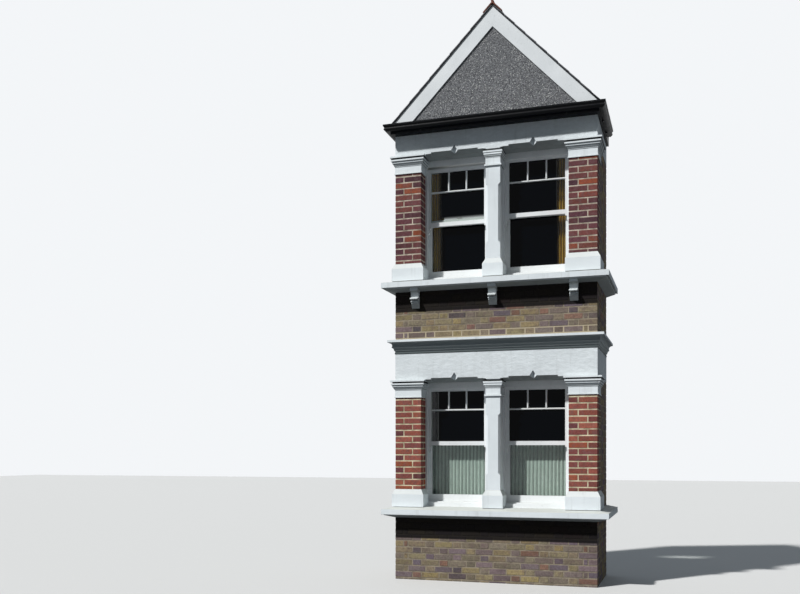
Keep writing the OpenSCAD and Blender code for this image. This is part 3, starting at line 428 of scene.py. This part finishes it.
def window_glass(name, seen_through):
    """Old drawn glass, slightly rippled. It is painted nearly black, as painted shade for the unlit room
    behind it, and clear where a curtain hangs close behind it: each such place is x0, x1, z0, z1 and
    how clear it is. Light passes it everywhere, so that it falls on the curtains."""
    finish, t, pos = new_finish(name)
    ripple = add(t, "TexNoise", {"Vector": pos, "Scale": 1 / 0.20, "Detail": 2.0})
    ripple = add(t, "Bump", {"Height": ripple, "Distance": 0.0008, "Strength": 0.5})
    # painted shade: opaque near-black glass stands for the unlit room
    dark = add(t, "BsdfPrincipled", {"Base Color": linear("#020408"), "Roughness": 0.03, "IOR": 1.52,
                                     "Specular IOR Level": 0.05, "Normal": ripple})
    tint = add(t, "BsdfTransparent", {"Color": (0.93, 0.955, 0.94, 1)})
    shine = add(t, "BsdfGlossy", {"Color": (0.45, 0.45, 0.45, 1), "Roughness": 0.02, "Normal": ripple})
    edge = add(t, "Fresnel", {"IOR": 1.5, "Normal": ripple})
    outer = add(t, "Math", {0: 1.0, 1: add(t, "NewGeometry", out="Backfacing")}, operation="SUBTRACT")
    edge = add(t, "Math", {0: edge, 1: outer}, operation="MULTIPLY")
    clear = add(t, "MixShader", {0: edge, 1: tint, 2: shine})
    x, z = [add(t, "SeparateXYZ", {0: pos}, out=axis) for axis in "XZ"]
    share = add(t, "LightPath", out="Is Shadow Ray")
    edge_blend = 0.025
    for x0, x1, z0, z1, amount in seen_through:
        across, upright = between(t, x, x0, x1, edge_blend), between(t, z, z0, z1, edge_blend)
        zone = add(t, "Math", {0: across, 1: upright}, operation="MULTIPLY")
        zone = add(t, "Math", {0: zone, 1: amount}, operation="MULTIPLY")
        share = add(t, "Math", {0: share, 1: zone}, operation="MAXIMUM")
    add(t, "OutputMaterial", {"Surface": add(t, "MixShader", {0: share, 1: dark, 2: clear})})
    return finish


# Where the quirk of a capital starts and ends, as shares of its height
QUIRK_FOOT, QUIRK_TOP = 0.82, 0.905
# painted shade, nearly black, in the quirk of each capital
QUIRK_SHADE_BANDS = []
for foot, top in (heights_of("lower_capitals"), heights_of("upper_capitals")):
    QUIRK_SHADE_BANDS.append((foot + QUIRK_FOOT * (top - foot), foot + QUIRK_TOP * (top - foot), "#2A2D2D"))
# Heights of the bed and of the nose over the foot of the cornice
CORNICE_FOOT = heights_of("cornice")[0]
BED_TOP, NOSE_FOOT = 0.026, 0.137
# painted shade under the nose of the cornice, darker still as painted shadow on its lowest 26 mm
CORNICE_SHADE_BANDS = [(CORNICE_FOOT, CORNICE_FOOT + NOSE_FOOT, "#929B9E"),
             (CORNICE_FOOT, CORNICE_FOOT + BED_TOP, "#4C5557")]

SMOOTH_WHITE = masonry_paint("smooth_masonry_paint", 0.0035, 0.0012)
CAPITAL_WHITE = masonry_paint("capital_masonry_paint", 0.0035, 0.0012, painted_shade_bands=QUIRK_SHADE_BANDS)
CORNICE_WHITE = masonry_paint("cornice_masonry_paint", 0.0035, 0.0012, painted_shade_bands=CORNICE_SHADE_BANDS)
TEXTURED_WHITE = masonry_paint("textured_masonry_paint", 0.0050, 0.0022, brushed=True)
SASH_WHITE = gloss_white("sash_gloss", "#EBEFF1", "#E0E4E6")
BOARD_WHITE = gloss_white("bargeboard_gloss", "#E6EBEF", "#D8DEE2")
BOARD_BLACK = black_gloss("eaves_board_gloss", 0.020, 0.32)
IRON_BLACK = black_gloss("gutter_gloss", 0.008, 0.28)
BRICK = brick_clay()
MORTAR = lime_mortar("sooty_lime_mortar", "#958B7B", "#665E55", "#AFA490", 0.62)
PALE_MORTAR = lime_mortar("pale_lime_mortar", "#D0C4B5", "#7C7064", "#CFC5B5", 0.62)
CREAM_MORTAR = lime_mortar("cream_lime_mortar", "#E2D8BA", "#978D72", "#DDD3B8", 0.64)
PLASTER = wall_plaster()
DASH = pebbledash()
SLATE = riven_slate()
FELT = tarred_felt()
TERRACOTTA = ridge_terracotta()
PINE = sawn_pine()
BOARDS = waxed_boards()
ENAMEL = rail_enamel()
# Clear before the nets and the grey curtain, and above before the mustard curtains and a rail
LOW_GLASS = window_glass("lower_window_glass", [(-0.90, 0.90, 0.90, 1.665, 0.95),
                                                (-0.90, -0.752, 1.665, 2.35, 0.92)])
UP_GLASS = window_glass("upper_window_glass", [(0.736, 0.90, 3.60, 5.10, 0.92),
                                               (-0.90, -0.712, 3.60, 5.10, 0.92),
                                               (-0.90, 0.0, 4.375, 4.440, 0.95)])
# the third colour of each cloth is the painted shade in its fold hollows
MUSTARD = woven_cloth("mustard_cotton", "#F2C536", "#B9911F", "#5E470F", 0.0009, 0)
GREY = woven_cloth("grey_cotton", "#D6CED2", "#A9A1A6", "#484346", 0.0009, 0)
NET = woven_cloth("white_net", "#DCE8E2", "#B2C2BB", "#28312E", 0.0014, 0.05)

FINISHES = {
    "lower_sill": SMOOTH_WHITE, "upper_sill": SMOOTH_WHITE, "lower_bases": SMOOTH_WHITE,
    "upper_bases": SMOOTH_WHITE, "lower_mullion": SMOOTH_WHITE, "upper_mullion": SMOOTH_WHITE,
    "lower_capitals": CAPITAL_WHITE, "upper_capitals": CAPITAL_WHITE,
    "lower_frieze": TEXTURED_WHITE, "upper_frieze": TEXTURED_WHITE,
    "eaves_board": BOARD_BLACK, "gutter": IRON_BLACK, "gutter_brackets": IRON_BLACK,
    "gable_panel": DASH, "left_bargeboard": BOARD_WHITE, "right_bargeboard": BOARD_WHITE,
    "ridge_tiles": TERRACOTTA, "rafters": PINE, "ground_floor": BOARDS, "first_floor": BOARDS,
    "upper_ceiling": PLASTER, "lower_frames": SASH_WHITE, "upper_frames": SASH_WHITE,
    "lower_sashes": SASH_WHITE, "upper_sashes": SASH_WHITE, "lower_glass": LOW_GLASS,
    "upper_glass": UP_GLASS, "curtain_rails": ENAMEL,
}
for node, finish in FINISHES.items():
    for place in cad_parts[node].material_slots:
        place.material = finish


# Making of pieces
def new_object(name, data):
    """Put a mesh, a light or a camera into the scene."""
    thing = bpy.data.objects.new(name, data)
    bpy.context.scene.collection.objects.link(thing)
    return thing


def hand_in(name, shape, finishes, stands_for=(), mirrored=False):
    """Turn a finished shape into a piece of the bay that rides with its walls."""
    if mirrored:
        bmesh.ops.scale(shape, verts=shape.verts, vec=(-1, 1, 1))
    bmesh.ops.recalc_face_normals(shape, faces=shape.faces)
    mesh = bpy.data.meshes.new(name)
    shape.to_mesh(mesh)
    shape.free()
    for finish in finishes:
        mesh.materials.append(finish)
    piece = new_object(name, mesh)
    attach(piece, "root")
    if stands_for:
        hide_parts(*stands_for)
    return piece


def block(shape, lo, hi, layer=None, colour=None, turn=Matrix(), finish=0):
    """Add a block between two corners, turned about the origin, with a colour of its own."""
    lo, hi = Vector(lo), Vector(hi)
    place = turn @ Matrix.Translation((lo + hi) / 2) @ Matrix.Diagonal((*(hi - lo), 1.0))
    made = bmesh.ops.create_cube(shape, size=1.0, matrix=place)
    for v in made["verts"]:
        for loop in v.link_loops:
            if layer:
                loop[layer] = colour
            loop.face.material_index = finish
    return made["verts"]


def soften(shape, edges, by, steps=1):
    """Take the sharpness off edges."""
    bmesh.ops.bevel(shape, geom=edges, offset=by, offset_type="OFFSET", segments=steps, profile=0.5,
                    affect="EDGES", material=-1, clamp_overlap=True)


def push(shape, outline, by):
    """Make a solid from the corners of its end and the way to its other end; give the new corners."""
    end = shape.faces.new([shape.verts.new(corner) for corner in outline])
    made = bmesh.ops.extrude_face_region(shape, geom=[end])["geom"]
    corners = [v for v in made if isinstance(v, bmesh.types.BMVert)]
    bmesh.ops.translate(shape, verts=corners, vec=by)
    return corners


# Places of the finishes on brickwork
MORTAR_PLACE, PLASTER_PLACE, PIER_MORTAR_PLACE = 1, 2, 3


def raise_plan(wall, plan, foot, top, plastered, mortar=MORTAR_PLACE):
    """Add an upright core over a plan, in mortar, with plaster on the sides that plastered names."""
    for v in push(wall, [(x, y, foot) for x, y in plan], (0, 0, top - foot)):
        for face in v.link_faces:
            face.material_index = PLASTER_PLACE if plastered(face.calc_center_median()) else mortar


# Brickwork: the mortar core lies a little behind the faces of the bricks
STRETCHER, HEADER, CLOSER = 0.215, 0.1025, 0.046
# Headers that fill out a pier, and the bricks cut for the middle of the front
PIER_HEADER, MIDDLE_HEADER, MIDDLE_STRETCHER, MIDDLE_PAIR = 0.105, 0.098, 0.198, 0.204
JOINT = 0.012
RECESS = 0.003
ARRIS = 0.003
# Largest error of an edge, thinnest and shortest cut that is still laid
WANDER, THINNEST, SHORTEST = 0.0014, 0.016, 0.03
# Rise of a course, and height of the bed joint that courses are counted from, by storey
RISE = {"lower": 0.075, "upper": 0.0735}
BED = {"lower": 0.024, "upper": 0.0795}
# Red bricks reach this far round the corner
RED_REACH = 0.17
# Bricks of a pier in even and odd courses, as place, left, right, front and back
PIER_BRICKS = (
    (("inner", PIER_IN, PIER_IN + PIER_HEADER, FRONT, REVEAL),
     ("outer", HALF - STRETCHER, HALF, FRONT, FRONT + HEADER)),
    (("inner", PIER_IN, PIER_IN + STRETCHER, FRONT, FRONT + HEADER),
     ("outer", HALF - PIER_HEADER, HALF, FRONT, FRONT + STRETCHER),
     ("back", PIER_IN, PIER_IN + HEADER, FRONT + HEADER + JOINT, REVEAL)))
# Colours of bricks, each with how common it is
REDS = [("#6F4549", 5), ("#78494A", 6), ("#643F47", 4), ("#814D48", 4), ("#583A43", 3), ("#9C523A", 1)]
LOW_REDS = [("#96574E", 5), ("#A35D50", 6), ("#8B4F4B", 4), ("#AB6453", 4), ("#784648", 2), ("#AE6046", 1)]
STOCKS = [("#8E8473", 6), ("#968A70", 5), ("#82776F", 4), ("#A09270", 4), ("#87797A", 4), ("#7B6F78", 2),
          ("#A8976E", 2), ("#917262", 2), ("#686063", 1)]


def pick(rng, palette):
    """The colour of one brick, fired a little more or less than its kind."""
    code = rng.choices([p[0] for p in palette], [p[1] for p in palette])[0]
    r, g, b, _ = linear(code)
    k = rng.uniform(0.86, 1.22)
    return (r * k, g * k * rng.uniform(0.96, 1.04), b * k * rng.uniform(0.94, 1.06), 1)


def courses(z0, z1, storey):
    """Bricks of each course between two heights, as number, foot and top."""
    bed, rise = BED[storey], RISE[storey]
    k = math.floor((z0 - bed) / rise)
    while bed + k * rise < z1:
        foot = max(bed + k * rise + JOINT / 2, z0)
        top = min(bed + (k + 1) * rise - JOINT / 2, z1)
        if top - foot > THINNEST:
            yield k, foot, top
        k += 1


def lay(wall, tints, rng, x0, x1, y0, y1, z0, z1, colour):
    """Lay one brick with small errors of its own; it never passes the faces of the wall."""
    lo = [v + rng.uniform(0, WANDER) for v in (x0, y0, z0)]
    hi = [v - rng.uniform(0, WANDER) for v in (x1, y1, z1)]
    block(wall, lo, hi, tints, colour)


def bricks_behind(first, end):
    """Stretchers and headers along a side wall behind its first brick, as start, end and length."""
    y = first + JOINT
    run = [CLOSER, STRETCHER, HEADER] if first == HEADER else [HEADER]
    run += [STRETCHER, HEADER] * 8
    for length in run:
        if y > end - SHORTEST:
            return
        yield y, min(y + length, end), length
        y += length + JOINT


def corner_brickwork(name, mirrored, storey, hot, seed):
    """Pier and return of one storey, bonded at the corner and plastered inside. The bricks in
    hot, by course and place, have a colour of their own."""
    rng = random.Random(seed)
    wall = bmesh.new()
    tints = wall.loops.layers.float_color.new("tint")
    side = "_left_" if mirrored else "_right_"
    pier, behind = storey + side + "pier", storey + side + "return"
    pier_z, return_z = heights_of(pier), heights_of(behind)
    reds = LOW_REDS if storey == "lower" else REDS

    def red(k, where):
        return linear(hot[(k, where)]) if (k, where) in hot else pick(rng, reds)

    for k, foot, top in courses(*return_z, storey):
        a, b = max(foot, pier_z[0]), min(top, pier_z[1])
        if b - a > THINNEST:
            for where, x0, x1, y0, y1 in PIER_BRICKS[k % 2]:
                lay(wall, tints, rng, x0, x1, y0, y1, a, b, red(k, where))
        for y0, y1, length in bricks_behind(STRETCHER if k % 2 else HEADER, BACK - FRONT):
            x0 = HALF - (STRETCHER if length == HEADER else HEADER)
            if FRONT + y0 >= PIER_BACK:
                lay(wall, tints, rng, x0, HALF, FRONT + y0, FRONT + y1, foot, top, pick(rng, STOCKS))
                continue
            if b - a > THINNEST:
                lay(wall, tints, rng, x0, HALF, FRONT + y0, FRONT + y1, a, b,
                    pick(rng, reds if y1 < RED_REACH else STOCKS))
            if FRONT + y1 > PIER_BACK + SHORTEST:
                for z0, z1 in ((foot, min(top, pier_z[0])), (max(foot, pier_z[1]), top)):
                    if z1 - z0 > THINNEST:
                        lay(wall, tints, rng, x0, HALF, PIER_BACK, FRONT + y1, z0, z1, pick(rng, STOCKS))
    soften(wall, wall.edges[:], ARRIS)
    d = RECESS
    raise_plan(wall, [(PIER_IN + d, FRONT + d), (HALF - d, FRONT + d), (HALF - d, PIER_BACK),
                      (CHECK_IN, PIER_BACK), (CHECK_IN, REVEAL), (PIER_IN + d, REVEAL)], *pier_z,
               lambda c: c.y > PIER_BACK - 0.001 or (abs(c.x - CHECK_IN) < 0.001 and c.y > REVEAL),
               PIER_MORTAR_PLACE)
    raise_plan(wall, [(HALF - d, PIER_BACK), (HALF - d, BACK), (RETURN_IN, BACK), (RETURN_IN, PIER_BACK)],
               *return_z, lambda c: c.x < RETURN_IN + 0.001)
    hand_in(name, wall, [BRICK, MORTAR, PLASTER, CREAM_MORTAR if storey == "lower" else PALE_MORTAR],
            (pier, behind), mirrored)


def front_brickwork(name, node, storey, seed):
    """Low front wall with its two short corners, plastered inside."""
    rng = random.Random(seed)
    wall = bmesh.new()
    tints = wall.loops.layers.float_color.new("tint")
    z0, z1 = heights_of(node)
    for k, foot, top in courses(z0, z1, storey):
        if k % 2:
            run = [HEADER, CLOSER] + [STRETCHER, HEADER] * 2 + \
                  [STRETCHER, MIDDLE_HEADER, MIDDLE_STRETCHER] + \
                  [STRETCHER, HEADER] * 2 + [STRETCHER, CLOSER, HEADER]
        else:
            run = [STRETCHER, HEADER] * 3 + [MIDDLE_PAIR] * 2 + [HEADER, STRETCHER] * 3
        spare = (2 * HALF - sum(run) - JOINT * (len(run) - 1)) / len(run)
        x = -HALF
        for i, length in enumerate(run):
            deep = STRETCHER if k % 2 and i in (0, len(run) - 1) else HEADER
            lay(wall, tints, rng, x, x + length + spare, FRONT, FRONT + deep, foot, top, pick(rng, STOCKS))
            x += length + spare + JOINT
        for y0, y1, length in bricks_behind(STRETCHER if k % 2 else HEADER, PIER_BACK - FRONT):
            for x0, x1 in ((-HALF, -HALF + HEADER), (HALF - HEADER, HALF)):
                lay(wall, tints, rng, x0, x1, FRONT + y0, FRONT + y1, foot, top, pick(rng, STOCKS))
    soften(wall, wall.edges[:], ARRIS)
    d = RECESS
    raise_plan(wall, [(-HALF + d, FRONT + d), (HALF - d, FRONT + d), (HALF - d, PIER_BACK),
                      (RETURN_IN, PIER_BACK), (RETURN_IN, WALL_BACK), (-RETURN_IN, WALL_BACK),
                      (-RETURN_IN, PIER_BACK), (-HALF + d, PIER_BACK)], z0, z1,
               lambda c: abs(c.x) < RETURN_IN + 0.001 and c.y > FRONT + 0.3)
    hand_in(name, wall, [BRICK, MORTAR, PLASTER], (node,))


front_brickwork("dado_brickwork", "dado_wall", "lower", 11)
front_brickwork("spandrel_brickwork", "spandrel_wall", "upper", 12)
corner_brickwork("lower_right_brickwork", False, "lower", {}, 21)
corner_brickwork("lower_left_brickwork", True, "lower", {}, 22)
corner_brickwork("upper_right_brickwork", False, "upper",
                 {(62, "outer"): "#A85940", (60, "outer"): "#945248", (53, "outer"): "#985644",
                  (52, "inner"): "#9C5642"}, 23)
corner_brickwork("upper_left_brickwork", True, "upper",
                 {(64, "outer"): "#A05844", (63, "inner"): "#A65C42", (55, "inner"): "#965444"}, 24)


def cove(out, up, radius, last):
    """Points of a hollow moulding that turns outwards as it rises, about a centre."""
    steps = 7
    turns = [math.radians(180 + (last - 180) * i / steps) for i in range(steps + 1)]
    return [(out + radius * math.cos(a), up + radius * math.sin(a)) for a in turns]


def cornice_mouldings():
    """The cornice with its mouldings drawn finer: a bead, two fillets and two coves, set back so
    far under the nose that it shades them. The outline, in millimetres out from the wall and up
    from the foot, is run round the bay with mitred corners."""
    outline = [(0, 0), (4, 0), (4, 3), (7, 6), (7, 11), (3, 15), (2, 22), (2, 34), (13, 40), (13, 52)] + \
        cove(36, 54, 20, 100) + [(36, 76), (36, 88), (32, 90)] + cove(64, 102, 32, 92) + \
        [(64, 138), (78, 138), (80, 140), (80, 166), (77, 169), (0, 178)]
    band = bmesh.new()
    end = band.faces.new([band.verts.new((-HALF - out / 1000, BACK, CORNICE_FOOT + up / 1000))
                          for out, up in outline])
    for axis, place in ((1, lambda v: FRONT + v.co.x + HALF), (0, lambda v: -v.co.x), (1, lambda v: BACK)):
        made = bmesh.ops.extrude_face_region(band, geom=[end])["geom"]
        end = [part for part in made if isinstance(part, bmesh.types.BMFace)][0]
        for v in end.verts:
            v.co[axis] = place(v)
    bmesh.ops.recalc_face_normals(band, faces=band.faces)
    soften(band, [e for e in band.edges if e.calc_face_angle(0) > 0.5 and e.calc_length() > 0.5], 0.0008)
    hand_in("cornice_mouldings", band, [CORNICE_WHITE], ("cornice",))


def scrolled_corbels():
    """The three corbels under the upper sill: a head and a neck in the shade of the sill, a roll that
    catches the sun, a fillet and a foot that leans back into the wall. The outline is in millimetres
    out from the wall and up from the foot of the sill."""
    lo, hi = corners_of("sill_corbels")
    solid_height, width = 0.202, 0.096
    head = lo.z + solid_height
    outline = [(0, -238), (2, -238), (44, -180), (38, -178), (38, -168), (66, -166), (66, -155),
               (42, -153), (42, -143), (92, -142), (99, -138), (102, -130), (99, -122), (92, -118),
               (57, -116)] + cove(97, -76, 40, 100) + [(104, -34), (104, 1000 * (hi.z - head)), (0, 0)]
    corbels = bmesh.new()
    for x in (lo.x, -width / 2, hi.x - width):
        push(corbels, [(x, FRONT - out / 1000, head + up / 1000) for out, up in outline], (width, 0, 0))
    bmesh.ops.recalc_face_normals(corbels, faces=corbels.faces)
    soften(corbels, [e for e in corbels.edges if e.calc_face_angle(0) > 0.5], 0.0008)
    hand_in("scrolled_corbels", corbels, [SMOOTH_WHITE], ("sill_corbels",))


cornice_mouldings()
scrolled_corbels()


# Roof slates, within the thickness of the roof covering
def slating(name, mirrored, node, seed):
    """Courses of slates on felt, each slate lying on those below it."""
    rng = random.Random(seed)
    lo, hi = corners_of("right_roof_slope")
    steep = math.sqrt(1 + ROOF_SLOPE ** 2)
    covering, felt = 0.022, 0.005
    length = (hi.x - covering * ROOF_SLOPE / steep) * steep
    slope = Matrix.Rotation(math.atan(ROOF_SLOPE), 4, "Y")
    turn = Matrix.Translation((0, 0, hi.z - covering * steep)) @ slope
    roof = bmesh.new()
    tints = roof.loops.layers.float_color.new("tint")
    block(roof, (0, lo.y + 0.004, 0), (length, hi.y, felt), tints, linear("#202226"), turn, 1)
    rows, thick, rise, width, gap = 10, 0.0055, 0.0108, (hi.y - lo.y) / 5, 0.003
    gauge = length / rows
    for r in range(rows):
        foot = length - r * gauge
        head = max(foot - gauge * 1.95, 0.004)
        y = lo.y - (0 if r % 2 else width / 2)
        while y < hi.y - 0.01:
            y0, y1 = max(y + gap / 2, lo.y), min(y + width - gap / 2, hi.y)
            y += width
            if y1 - y0 < SHORTEST:
                continue
            shade = linear(rng.choice(["#4A4E55", "#42464D", "#555860", "#3B3F46", "#4F4B52"]))
            reach = foot - rng.uniform(0, 0.004) - head
            tilt = turn @ Matrix.Translation((head, 0, felt + 0.0002)) @ \
                Matrix.Rotation(-math.asin(rise / reach), 4, "Y")
            block(roof, (0, y0, 0), (reach - 0.0005, y1, thick), tints, shade, tilt)
    hand_in(name, roof, [SLATE, FELT], (node,), mirrored)


slating("right_slates", False, "right_roof_slope", 31)
slating("left_slates", True, "left_roof_slope", 32)


# Glazing bars, putty and catches
def solids_of(node):
    """Lowest and highest corners of each separate solid of a node, from the lowest and leftmost."""
    shape = bmesh.new()
    shape.from_mesh(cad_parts[node].data)
    bmesh.ops.remove_doubles(shape, verts=shape.verts, dist=1e-5)
    left, boxes = set(shape.verts), []
    while left:
        todo, places = [left.pop()], []
        while todo:
            v = todo.pop()
            places.append(v.co.copy())
            for e in v.link_edges:
                other = e.other_vert(v)
                if other in left:
                    left.remove(other)
                    todo.append(other)
        boxes.append((Vector([min(c[i] for c in places) for i in range(3)]),
                      Vector([max(c[i] for c in places) for i in range(3)])))
    shape.free()
    return sorted(boxes, key=lambda b: (round(b[0].z, 1), b[0].x))


# Half the width of a bar, its chamfer, and how far bars and putty stand off the glass
BAR_HALF, BAR_CHAMFER = 0.0105, 0.006
BAR_BEFORE, BAR_BEHIND = -0.019, 0.017
PUTTY_BEFORE, PUTTY_BEHIND = -0.011, 0.009


def glazing_bar(shape, start, run, out):
    """A bar that starts on the glass, runs along run and stands off the glass along out."""
    side = run.cross(out).normalized() * BAR_HALF
    c = side.normalized() * BAR_CHAMFER
    section = [-side, side, side + out * 0.5, side - c + out, c - side + out, out * 0.5 - side]
    push(shape, [start + corner for corner in section], run)


def putty(shape, lo, hi, y, out):
    """Sloping putty round a pane, deepest against the sash."""
    rim = shape.faces.new([shape.verts.new((x, y + out, z)) for x, z in
                           ((lo.x, lo.z), (hi.x, lo.z), (hi.x, hi.z), (lo.x, hi.z))])
    ring = bmesh.ops.inset_region(shape, faces=[rim], thickness=0.010, use_boundary=True,
                                  use_even_offset=True)["faces"]
    for v in rim.verts:
        v.co.y = y + out * 0.05
    shape.faces.remove(rim)
    for v in bmesh.ops.extrude_face_region(shape, geom=ring)["geom"]:
        if isinstance(v, bmesh.types.BMVert):
            v.co.y = y


def is_lower(foot, node):
    """Whether the pane that starts at foot is one of the lower panes of its storey."""
    return foot.z < sum(heights_of(node)) / 2 - 0.1


def glazing(name, node, bar_drop):
    """Putty and mouldings round all panes, and the bars of the upper panes, whose cross bar lies
    bar_drop below the top of the glass."""
    shape = bmesh.new()
    for lo, hi in solids_of(node):
        putty(shape, lo, hi, lo.y, PUTTY_BEFORE)
        putty(shape, lo, hi, hi.y, PUTTY_BEHIND)
        if is_lower(lo, node):
            continue
        third = (hi.x - lo.x) / 3
        bar_z = hi.z - bar_drop
        for y, out in ((lo.y, Vector((0, BAR_BEFORE, 0))), (hi.y, Vector((0, BAR_BEHIND, 0)))):
            glazing_bar(shape, Vector((lo.x, y, bar_z)), Vector((hi.x - lo.x, 0, 0)), out)
            for i in (1, 2):
                glazing_bar(shape, Vector((lo.x + i * third, y, bar_z + BAR_HALF)),
                            Vector((0, 0, bar_drop - BAR_HALF)), out)
    hand_in(name, shape, [SASH_WHITE])


def catches(name, node):
    """A cam catch on the meeting rail of each lower sash, with its keep and its knob."""
    shape = bmesh.new()
    rail_top = 0.0503
    for lo, hi in solids_of(node):
        if not is_lower(lo, node):
            continue
        x, y, z = (lo.x + hi.x) / 2, (lo.y + hi.y) / 2, hi.z + rail_top
        block(shape, (x - 0.030, y - 0.012, z), (x + 0.030, y + 0.014, z + 0.004))
        block(shape, (x - 0.022, y - 0.010, z + 0.010), (x + 0.030, y + 0.002, z + 0.016))
        for at, radius, height in ((x - 0.010, 0.010, 0.018), (x + 0.027, 0.008, 0.026)):
            bmesh.ops.create_cone(shape, cap_ends=True, segments=20, radius1=radius, radius2=radius * 0.8,
                                  depth=height, matrix=Matrix.Translation((at, y, z + height / 2)))
    soften(shape, [e for e in shape.edges if e.calc_face_angle(0) > 0.9], 0.0012, 2)
    hand_in(name, shape, [ENAMEL])


glazing("lower_glazing_bars", "lower_glass", 0.229)
glazing("upper_glazing_bars", "upper_glass", 0.240)
catches("lower_catches", "lower_glass")
catches("upper_catches", "upper_glass")


# Curtains, each inside the space of its solid
def hang(name, lo, hi, folds, look, node, seed, columns=160, rows=40):
    """Gathered cloth whose folds run down from the rail, tighter at the heading than below."""
    rng = random.Random(seed)
    phase = [rng.uniform(0, 6.28) for _ in range(4)]
    wide, deep, tall = hi - lo
    middle = (lo.y + hi.y) / 2
    reach = deep / 2 - 0.002
    cloth = bmesh.new()
    bmesh.ops.create_grid(cloth, x_segments=columns, y_segments=rows, size=0.5)
    ridge = cloth.verts.layers.float.new("ridge")
    for v in cloth.verts:
        u, down = v.co.x + 0.5, 0.5 - v.co.y
        turn = 2 * math.pi * folds * u + phase[0] + 0.5 * math.sin(2.1 * down + phase[1]) * down
        swell = 0.64 + 0.28 * math.sin(7.3 * u + phase[2]) + 0.08 * math.sin(3.7 * down + phase[3])
        swell *= 0.55 + 0.45 * min(1, down * 6)
        sway = 0.15 * wide / folds * math.sin(2 * turn) if 0.001 < u < 0.999 else 0
        x = lo.x + 0.004 + (wide - 0.008) * u + sway
        v[ridge] = 0.5 - 0.5 * math.sin(turn)
        v.co = (min(max(x, lo.x), hi.x), middle + reach * min(swell, 1) * math.sin(turn),
                hi.z - tall * down)
    for face in cloth.faces:
        face.smooth = True
    area = sum(face.calc_area() for face in cloth.faces)
    piece = hand_in(name, cloth, [look], (node,))


for side, (lo, hi) in zip(("left", "right"), solids_of("upper_curtains")):
    hang("mustard_curtain_" + side, lo, hi, 5, MUSTARD, "upper_curtains", len(side))
for side, (lo, hi) in zip(("left", "right"), solids_of("net_curtains")):
    hang("net_curtain_" + side, lo, hi, 17, NET, "net_curtains", 50 + len(side), columns=420)
for lo, hi in solids_of("side_curtain"):
    hang("grey_side_curtain", lo, hi, 4, GREY, "side_curtain", 61)


# Floor, light and camera
def background_share(tree):
    """One for camera, mirror and glass rays, which see the pale background, else nought."""
    seen = add(tree, "LightPath", out="Is Camera Ray")
    for kind in ("Is Glossy Ray", "Is Transmission Ray"):
        seen = add(tree, "Math", {0: seen, 1: add(tree, "LightPath", out=kind)}, operation="MAXIMUM")
    return seen


floor_finish, t, pos = new_finish("studio_floor")
shade = add(t, "Mix", {0: background_share(t), 6: linear("#4A4C4E"), 7: linear("#C9CACA")}, 2,
            data_type="RGBA")
add(t, "OutputMaterial", {"Surface": add(t, "BsdfPrincipled", {"Base Color": shade, "Roughness": 0.9})})
floor_shape = bmesh.new()
bmesh.ops.create_grid(floor_shape, x_segments=1, y_segments=1, size=40)
floor_mesh = bpy.data.meshes.new("studio_floor")
floor_shape.to_mesh(floor_mesh)
floor_shape.free()
floor_mesh.materials.append(floor_finish)
floor = new_object("studio_floor", floor_mesh)

world = bpy.data.worlds.new("studio")
bpy.context.scene.world = world
world.use_nodes = True
t = world.node_tree
t.nodes.clear()
# the unlit back gets more of the soft light than the front
aim = add(t, "SeparateXYZ", {0: add(t, "TexCoord", out="Generated")}, out="Y")
fill = add(t, "MapRange", {"Value": aim, "From Max": 0.9, "To Min": 0.135, "To Max": 0.42})
# and the right side less
aim = add(t, "SeparateXYZ", {0: add(t, "TexCoord", out="Generated")}, out="X")
aside = add(t, "MapRange", {"Value": aim, "From Min": 0.2, "From Max": 0.8, "To Min": 1.0, "To Max": 0.35})
fill = add(t, "Math", {0: fill, 1: aside}, operation="MULTIPLY")
soft = add(t, "Background", {"Color": (0.72, 0.86, 1.0, 1), "Strength": fill})
plain = add(t, "Background", {"Color": (0.90, 0.92, 0.94, 1), "Strength": 1.0})
add(t, "OutputWorld", {"Surface": add(t, "MixShader", {0: background_share(t), 1: soft, 2: plain})})

# The way that sunlight travels
SUNLIGHT = (0.80, 1.00, -1.44)
sun_data = bpy.data.lights.new("sun", "SUN")
sun_data.energy = 4.4
sun_data.angle = math.radians(2.5)
sun_data.color = (1.0, 0.985, 0.96)
sun = new_object("sun", sun_data)
sun.rotation_euler = Vector(SUNLIGHT).to_track_quat("-Z", "Y").to_euler()

# A level camera: the picture's width, its middle row, the row of the horizon and the focal length,
# all in pixels of the photograph
WIDTH, MIDDLE_ROW, HORIZON_ROW, FOCAL = 800, 297, 451.8, 904.2
camera_data = bpy.data.cameras.new("camera")
camera_data.sensor_width = 36
camera_data.lens = FOCAL / WIDTH * camera_data.sensor_width
camera_data.shift_y = (HORIZON_ROW - MIDDLE_ROW) / WIDTH
camera = new_object("camera", camera_data)
camera.location = (2.235, FRONT - 10.568, 1.560)
camera.rotation_euler = (math.radians(90), 0, math.radians(17.81))
bpy.context.scene.camera = camera
bpy.context.scene.view_settings.view_transform = "Standard"
